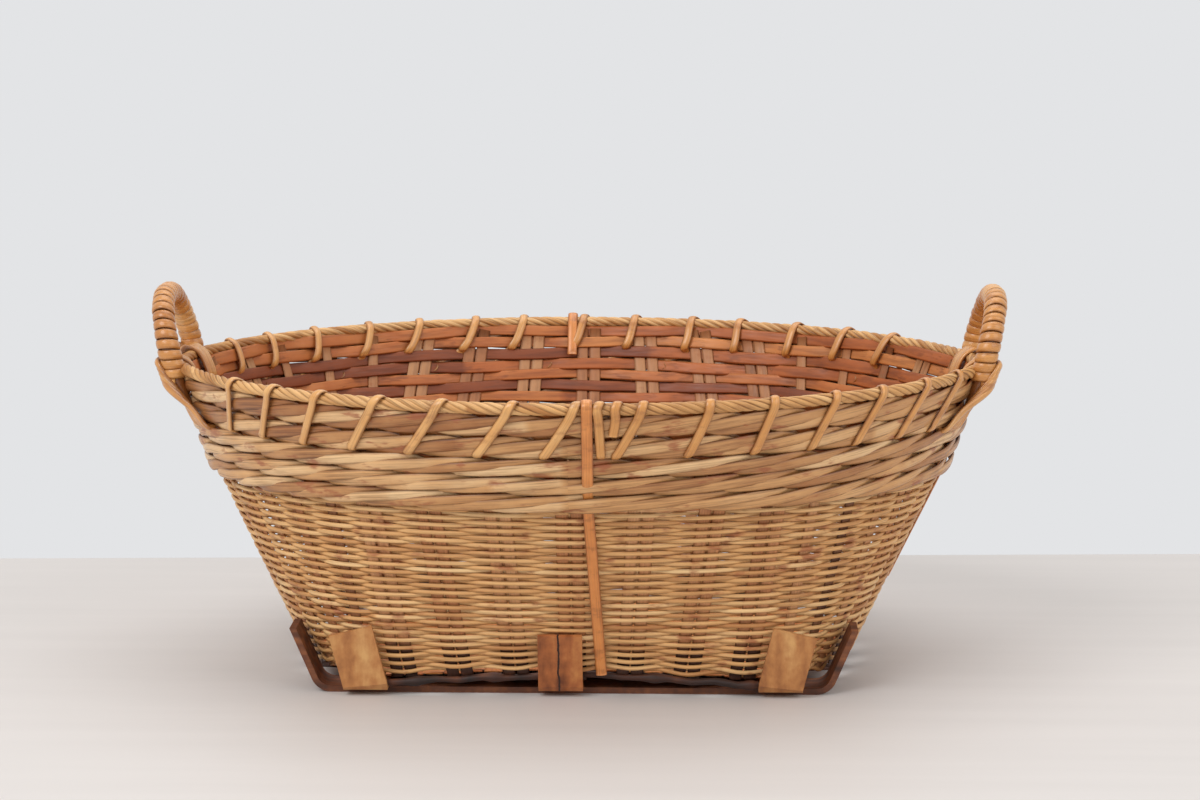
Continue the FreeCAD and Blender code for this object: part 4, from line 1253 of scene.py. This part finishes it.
# Handles
@dataclass
class Handle:
    """Arch wound with flat cane, tied to the rim at both legs."""

    side: Side
    leg_spacing: float = 80.0
    flat_top: float = 8.0
    outward: float = 8.7
    core: float = 9.0
    cane_width: float = 5.9
    cane_thick: float = 1.76
    cane_lift: float = 1.6
    cane_swell: float = 0.25
    turn_steps: int = 18
    core_skin: float = 1.0
    core_steps: int = 120
    core_tone: float = 0.2
    cane_tone: float = 0.5
    tone_chance: float = 0.35
    pitch: float = 5.6
    top: float = 224.0
    tie_size: float = 4.8
    taper_length: float = 20.0
    taper_shift: float = 4.5
    taper_share: float = 0.6
    wrap_start: float = 19.0
    lean_share: float = 0.72
    tie_loops: int = 5
    tie_steps: int = 7
    seed: int = 71

    def arch(self, distance: Array) -> tuple[Array, Array, Array, float]:
        """Places along the arch.

        Args:
            distance: Shares of the arch's length from the front leg's foot to the back leg's.

        Returns:
            Points, directions outward in the arch's plane, the plane's own direction, and the arch's length.
        """
        half = self.leg_spacing / 2
        low = self.leg_point(PLAN.lashed_foot)
        high = self.leg_point(PLAN.rim_height)
        lift = unit(np.array([self.lean_share * (high[0] - low[0]), 0.0, high[2] - low[2]]))
        radius = half - self.flat_top / 2
        rise = (self.top - low[2]) / lift[2]
        straight = rise - radius
        bend = math.pi / 2 * radius
        total = 2 * (straight + bend) + self.flat_top
        run = distance * total
        back = run > total / 2
        run = np.where(back, total - run, run)
        turn = np.clip((run - straight) / radius, 0, math.pi / 2)
        over = np.clip(run - straight - bend, 0, None)
        across = -half + radius - radius * np.cos(turn) + over
        upward = np.minimum(run, straight) + radius * np.sin(turn)
        normal_across, normal_up = -np.cos(turn), np.sin(turn)
        flip = np.where(back, -1.0, 1.0)
        sign = self.side.value
        direction = np.array([lift[0] * sign, 0.0, lift[2]])
        origin = np.array([low[0] * sign, 0.0, low[2]])
        points = origin + upward[:, None] * direction + (flip * across)[:, None] * ACROSS
        normals = normal_up[:, None] * direction + (flip * normal_across)[:, None] * ACROSS
        facing = np.cross(ACROSS, direction) * sign
        return points, normals, facing, total

    def leg_point(self, height: float) -> Array:
        """Point of the right end's front leg on its axis.

        Args:
            height: Height above the table.

        Returns:
            The point.
        """
        grid = np.linspace(QUARTER_PLACES - 1, QUARTER_PLACES, 400)
        points = PLAN.at(grid, height, self.outward)
        x = np.interp(-self.leg_spacing / 2, points[:, 1], points[:, 0])
        return np.array([x, -self.leg_spacing / 2, height])

    def build(self) -> None:
        """Build the core, the winding and the ties at its feet."""
        rng = np.random.default_rng(self.seed + self.side.value)
        label = self.side.name.lower()
        finish = CANE.material()
        share = np.linspace(0, 1, self.core_steps + 1)
        points, _, facing, total = self.arch(share)
        taper = np.clip(1 - total * np.minimum(share, 1 - share) / self.taper_length, 0, 1)
        points = points - facing * (self.taper_shift * taper)[:, None]
        size = (self.core + self.core_skin) * (1 - self.taper_share * taper)
        mesh = StrandMesh()
        section = sized(round_section(1.0, 1.0, 10), size, size)
        mesh.sweep(points, facing, section, self.core_tone)
        mesh.build(f"handle_core_cane_{label}", finish, "handle_core", [f"handle_core_{label}"])
        start = self.wrap_start / total
        turns = int(total * (1 - 2 * start) / self.pitch)
        count = turns * self.turn_steps + 1
        points, normals, facing, _ = self.arch(np.linspace(start, 1 - start, count))
        angle = 2 * math.pi * np.linspace(0, turns, count)
        radial = normals * np.cos(angle)[:, None] + facing * np.sin(angle)[:, None]
        swell = self.cane_swell * wander(rng, count, self.turn_steps)
        path = points + radial * (self.core / 2 + self.cane_lift + swell)[:, None]
        tone = self.cane_tone + self.tone_chance * wander(rng, count, 60)
        mesh = StrandMesh()
        mesh.sweep(path, radial, splint_section(self.cane_thick, self.cane_width), tone)
        mesh.build(f"handle_winding_{label}", finish, "cane", [f"handle_wrap_{label}"])
        self.build_ties(finish, rng)

    def tie_places(self, leg: float, loop: int) -> Array:
        """Places of one loop of a tie: out of the slot, over the leg and the rope, and down inside.

        Args:
            leg: Distance of the leg along its quarter of the rim.
            loop: Number of the loop from below.

        Returns:
            Rows of distance along the quarter, height and distance outward.
        """
        out = self.outward + self.core / 2 + 1.2
        low = leg - 28 + 5.8 * loop
        high = leg + 14 - 2.4 * loop
        slot, axis = PLAN.slot, PLAN.rope_axis
        return np.array([
            (low, slot - 2.6, 0.5),
            (low, slot - 2.2, 5.4),
            (low * 0.55 + leg * 0.45, slot + 8 + 1.6 * loop, 0.28 * out + 0.72 * 5.4),
            (leg - 2, slot + 18 + 3.0 * loop, out),
            (leg + 5, axis - 5 + 2.4 * loop, out - 1.5),
            (high, axis + 2.5, 6.6),
            (high + 1.5, axis + 5.8, 0.5),
            (high + 2.5, axis + 0.5, -5.8),
            (high + 4.0, axis - 12, -6.6),
            (high + 4.5, axis - 15, -3.0),
        ])

    def build_ties(self, finish: bpy.types.Material, rng: np.random.Generator) -> None:
        """Build the loops that tie each leg to the rim.

        Args:
            finish: Material of the cane.
            rng: Source of chance.
        """
        label = self.side.name.lower()
        quarter = PLAN.quarter()
        distances = np.linspace(quarter - self.leg_spacing, quarter, 400)
        along = PLAN.at(PLAN.place_of(distances), PLAN.rim_height, self.outward)
        leg = float(np.interp(-self.leg_spacing / 2, along[:, 1], distances))
        section = round_section(self.tie_size * 0.6, self.tie_size, 8)
        front_origin = 0.0 if self.side is Side.RIGHT else 4 * quarter
        feet = (("front", front_origin, self.side.value), ("back", 2 * quarter, -self.side.value))
        for name, origin, sign in feet:
            mesh = StrandMesh()
            for loop in range(self.tie_loops):
                places = self.tie_places(leg, loop)
                places[:, 0] = origin + sign * places[:, 0]
                lay_over_rim(mesh, places, self.tie_steps, section, rng.uniform(0.3, 0.7))
            mesh.build(f"handle_tie_{label}_{name}", finish, "cane", [f"handle_binding_{label}_{name}"])


# Base
@dataclass
class BaseFloor:
    """Floor of the basket: flat splints woven over and under each other."""

    strip: float = 11.0
    gap: float = 0.8
    thick: float = 0.8
    height: float = 10.7
    inset: float = -6.4
    swing: float = 0.5
    seed: int = 83

    def build(self) -> None:
        """Build the woven floor."""
        rng = np.random.default_rng(self.seed)
        finish = INNER.material()
        mesh = StrandMesh()
        grid = np.linspace(0, QUARTER_PLACES, 301)
        edge_x, edge_y = PLAN.base.point(grid, np.full_like(grid, self.inset))
        section = splint_section(self.thick, self.strip)
        pitch = self.strip + self.gap
        for axis in (0, 1):
            half = PLAN.base.length / 2 if axis == 0 else PLAN.base.width / 2
            number = int((half + self.inset - self.strip / 2) / pitch)
            for index in range(-number, number + 1):
                offset = index * pitch
                edge = abs(offset) + self.strip / 2
                if axis == 0:
                    reach = -float(np.interp(edge, edge_x, edge_y))
                else:
                    reach = float(np.interp(-edge, edge_y, edge_x))
                steps = max(int(2 * reach / pitch) * 4, 8)
                run = np.linspace(-reach, reach, steps)
                beat = np.cos(math.pi * (run / pitch + index))
                level = self.height + (self.swing if axis == 0 else -self.swing) * beat
                flat = np.full(steps, offset)
                path = np.stack([flat, run, level] if axis == 0 else [run, flat, level], axis=-1)
                path[:, 2] += PLAN.foot_lift(path[:, 0])
                mesh.sweep(path, UP, section, rng.uniform(0.3, 0.9))
        mesh.build("floor_weave", finish, "inner_weave", ["base_mat"])


@dataclass
class BaseTwig:
    """Dark twig with knots under the weave's foot, along the front and the back; its dark colour is partly
    the twig's own and partly painted shade of the gap under the wall.
    """

    reach: float = 121.0
    thick: float = 4.6
    outward: float = -1.6
    low: float = 8.6
    lift_share: float = 0.9
    knots: tuple[float, ...] = (-92.0, -46.0, 48.0, 104.0)
    knot_reach: float = 4.5
    knot_swell: float = 0.45
    level_chance: float = 0.8
    depth_chance: float = 0.5
    size_share: float = 0.85
    size_chance: float = 0.12
    tone: float = 0.4
    tone_chance: float = 0.35
    seed: int = 97

    def build(self) -> None:
        """Build the front and the back twig."""
        finish = TWIG_AND_PAINTED_SHADE.material()
        for face, sign in ((Face.FRONT, -1), (Face.BACK, 1)):
            rng = np.random.default_rng(self.seed + face.value)
            x = np.linspace(-self.reach, self.reach, 161)
            count = len(x)
            level = self.low + self.lift_share * PLAN.foot_lift(x) + self.level_chance * wander(rng, count, 9)
            depth = PLAN.base.width / 2 + self.outward + self.depth_chance * wander(rng, count, 12)
            path = np.stack([x, sign * depth, level], axis=-1)
            bulge = sum(np.exp(-((x - knot) / self.knot_reach) ** 2) for knot in self.knots)
            spread = self.size_chance * wander(rng, count, 6)
            size = self.thick * (self.size_share + spread + self.knot_swell * bulge)
            section = sized(round_section(1.0, 1.0, 9), size, size)
            tone = self.tone + self.tone_chance * wander(rng, count, 5)
            mesh = StrandMesh()
            mesh.sweep(path, UP, section, tone)
            label = face.name.lower()
            mesh.build(f"base_twig_{label}", finish, "base_twig", [f"base_rod_{label}"])


@dataclass
class BaseLaths:
    """Runners and slats under the basket, as the CAD has them."""

    runner: LathFinish = LathFinish(
        "runner_lath_finish", (54, 28, 16), (104, 58, 34), (152, 94, 56), grain=(14.0, 170.0, 170.0),
    )
    side_slat: LathFinish = LathFinish(
        "side_slat_finish", (138, 80, 40), (186, 126, 72), (214, 164, 104), grain=(110.0, 20.0, 26.0),
    )
    middle_slat: LathFinish = LathFinish(
        "middle_slat_finish", (104, 52, 24), (174, 102, 54), (208, 142, 80), grain=(110.0, 20.0, 26.0),
    )
    split_share: float = 0.46

    def build(self) -> None:
        """Dress the CAD nodes."""
        reach = [corner[0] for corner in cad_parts["slat_middle"].bound_box]
        split = min(reach) + self.split_share * (max(reach) - min(reach))
        kinds = (
            (("runner_",), self.runner.material()),
            (("slat_left", "slat_right"), self.side_slat.material()),
            (("slat_middle",), self.middle_slat.material(split)),
        )
        for prefixes, material in kinds:
            for name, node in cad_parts.items():
                if name.startswith(prefixes):
                    node.data.materials.clear()
                    node.data.materials.append(material)
                    LOG.info("%s dressed", name)


# Studio
@dataclass
class Studio:
    """Table, light and camera."""

    distance: float = 1.9
    height: float = 0.4432
    azimuth: float = 2.0
    pan: float = 0.385
    pitch: float = 8.51
    lens: float = 93.8
    sensor: float = 36.0
    table_back: float = 0.304
    table_half: float = 3.0
    table_slope: float = 0.047
    table_colour: Colour = (217, 212, 209)
    grain_colour: Colour = (213, 208, 205)
    table_roughness: float = 0.55
    backdrop_colour: Colour = (227, 228, 230)
    ambient_colour: Rgba = (1.0, 0.99, 0.97, 1.0)
    ambient_strength: float = 0.55
    lit_height: float = 0.1
    lamps: tuple[tuple[str, Triple, float, float], ...] = (
        ("key_lamp", (-1.3, -1.6, 1.9), 1.6, 34.0),
        ("fill_lamp", (1.7, -1.2, 1.3), 1.6, 12.0),
        ("top_lamp", (0.1, 0.5, 2.2), 1.8, 16.0),
    )

    def build(self) -> None:
        """Build the table, the light and the camera."""
        self.build_table()
        self.build_light()
        self.build_camera()

    def build_table(self) -> None:
        """Build the table top."""
        mesh = bpy.data.meshes.new("table_top")
        half, turn = self.table_half, self.table_half * self.table_slope
        back = ((half, self.table_back + turn, 0.0), (-half, self.table_back - turn, 0.0))
        corners = [(-half, -half, 0.0), (half, -half, 0.0), *back]
        mesh.from_pydata(corners, [], [(0, 1, 2, 3)])
        graph = NodeGraph("pale_table")
        spot = graph.add("ShaderNodeTexCoord").outputs["Object"]
        grain = graph.noise(spot, (3.0, 40.0, 1.0), 4.0)
        base = graph.ramp(grain, [(0.3, paint(self.grain_colour)), (0.7, paint(self.table_colour))])
        graph.join(base, graph.shader.inputs["Base Color"])
        graph.join(self.table_roughness, graph.shader.inputs["Roughness"])
        mesh.materials.append(graph.material)
        table = bpy.data.objects.new("table_top", mesh)
        bpy.context.scene.collection.objects.link(table)

    def build_light(self) -> None:
        """Set the world and the lamps."""
        world = bpy.data.worlds.new("studio")
        bpy.context.scene.world = world
        world.use_nodes = True
        nodes, links = world.node_tree.nodes, world.node_tree.links
        ambient = nodes["Background"]
        ambient.inputs["Color"].default_value = self.ambient_colour
        ambient.inputs["Strength"].default_value = self.ambient_strength
        shown = nodes.new("ShaderNodeBackground")
        shown.inputs["Color"].default_value = paint(self.backdrop_colour)
        rays = nodes.new("ShaderNodeLightPath")
        seen = rays.outputs["Is Camera Ray"]
        for kind in ("Is Glossy Ray", "Is Transmission Ray"):
            either = nodes.new("ShaderNodeMath")
            either.operation = "MAXIMUM"
            links.new(seen, either.inputs[0])
            links.new(rays.outputs[kind], either.inputs[1])
            seen = either.outputs[0]
        mixed = nodes.new("ShaderNodeMixShader")
        links.new(seen, mixed.inputs[0])
        links.new(ambient.outputs[0], mixed.inputs[1])
        links.new(shown.outputs[0], mixed.inputs[2])
        links.new(mixed.outputs[0], nodes["World Output"].inputs["Surface"])
        for name, place, size, power in self.lamps:
            lamp = bpy.data.lights.new(name, "AREA")
            lamp.size = size
            lamp.energy = power
            holder = bpy.data.objects.new(name, lamp)
            holder.location = place
            aim = UP * self.lit_height - np.array(place)
            level = math.hypot(aim[0], aim[1])
            turn = math.atan2(aim[1], aim[0]) - math.pi / 2
            holder.rotation_euler = (math.atan2(level, -aim[2]), 0.0, turn)
            bpy.context.scene.collection.objects.link(holder)

    def build_camera(self) -> None:
        """Set the camera at the photograph's angle."""
        camera = bpy.data.cameras.new("camera")
        camera.lens = self.lens
        camera.sensor_width = self.sensor
        holder = bpy.data.objects.new("camera", camera)
        turn = math.radians(self.azimuth)
        holder.location = (self.distance * math.sin(turn), -self.distance * math.cos(turn), self.height)
        holder.rotation_euler = (math.radians(90 - self.pitch), 0.0, math.radians(self.azimuth - self.pan))
        bpy.context.scene.collection.objects.link(holder)
        bpy.context.scene.camera = holder
        bpy.context.scene.view_settings.view_transform = "Standard"


def main() -> None:
    """Build the dressed basket and the studio in order."""
    logging.basicConfig(level=logging.INFO)
    parts = [
        Studio(), BaseLaths(), BaseTwig(), BaseFloor(), StakeSet(), FineWeave(), FlatWeave(), OuterBand(),
        RimRope(), RimCane(), Straps(), Handle(Side.LEFT), Handle(Side.RIGHT),
    ]
    for part in parts:
        part.build()
        LOG.info("built %s", type(part).__name__)


if __name__ == "__main__":
    main()
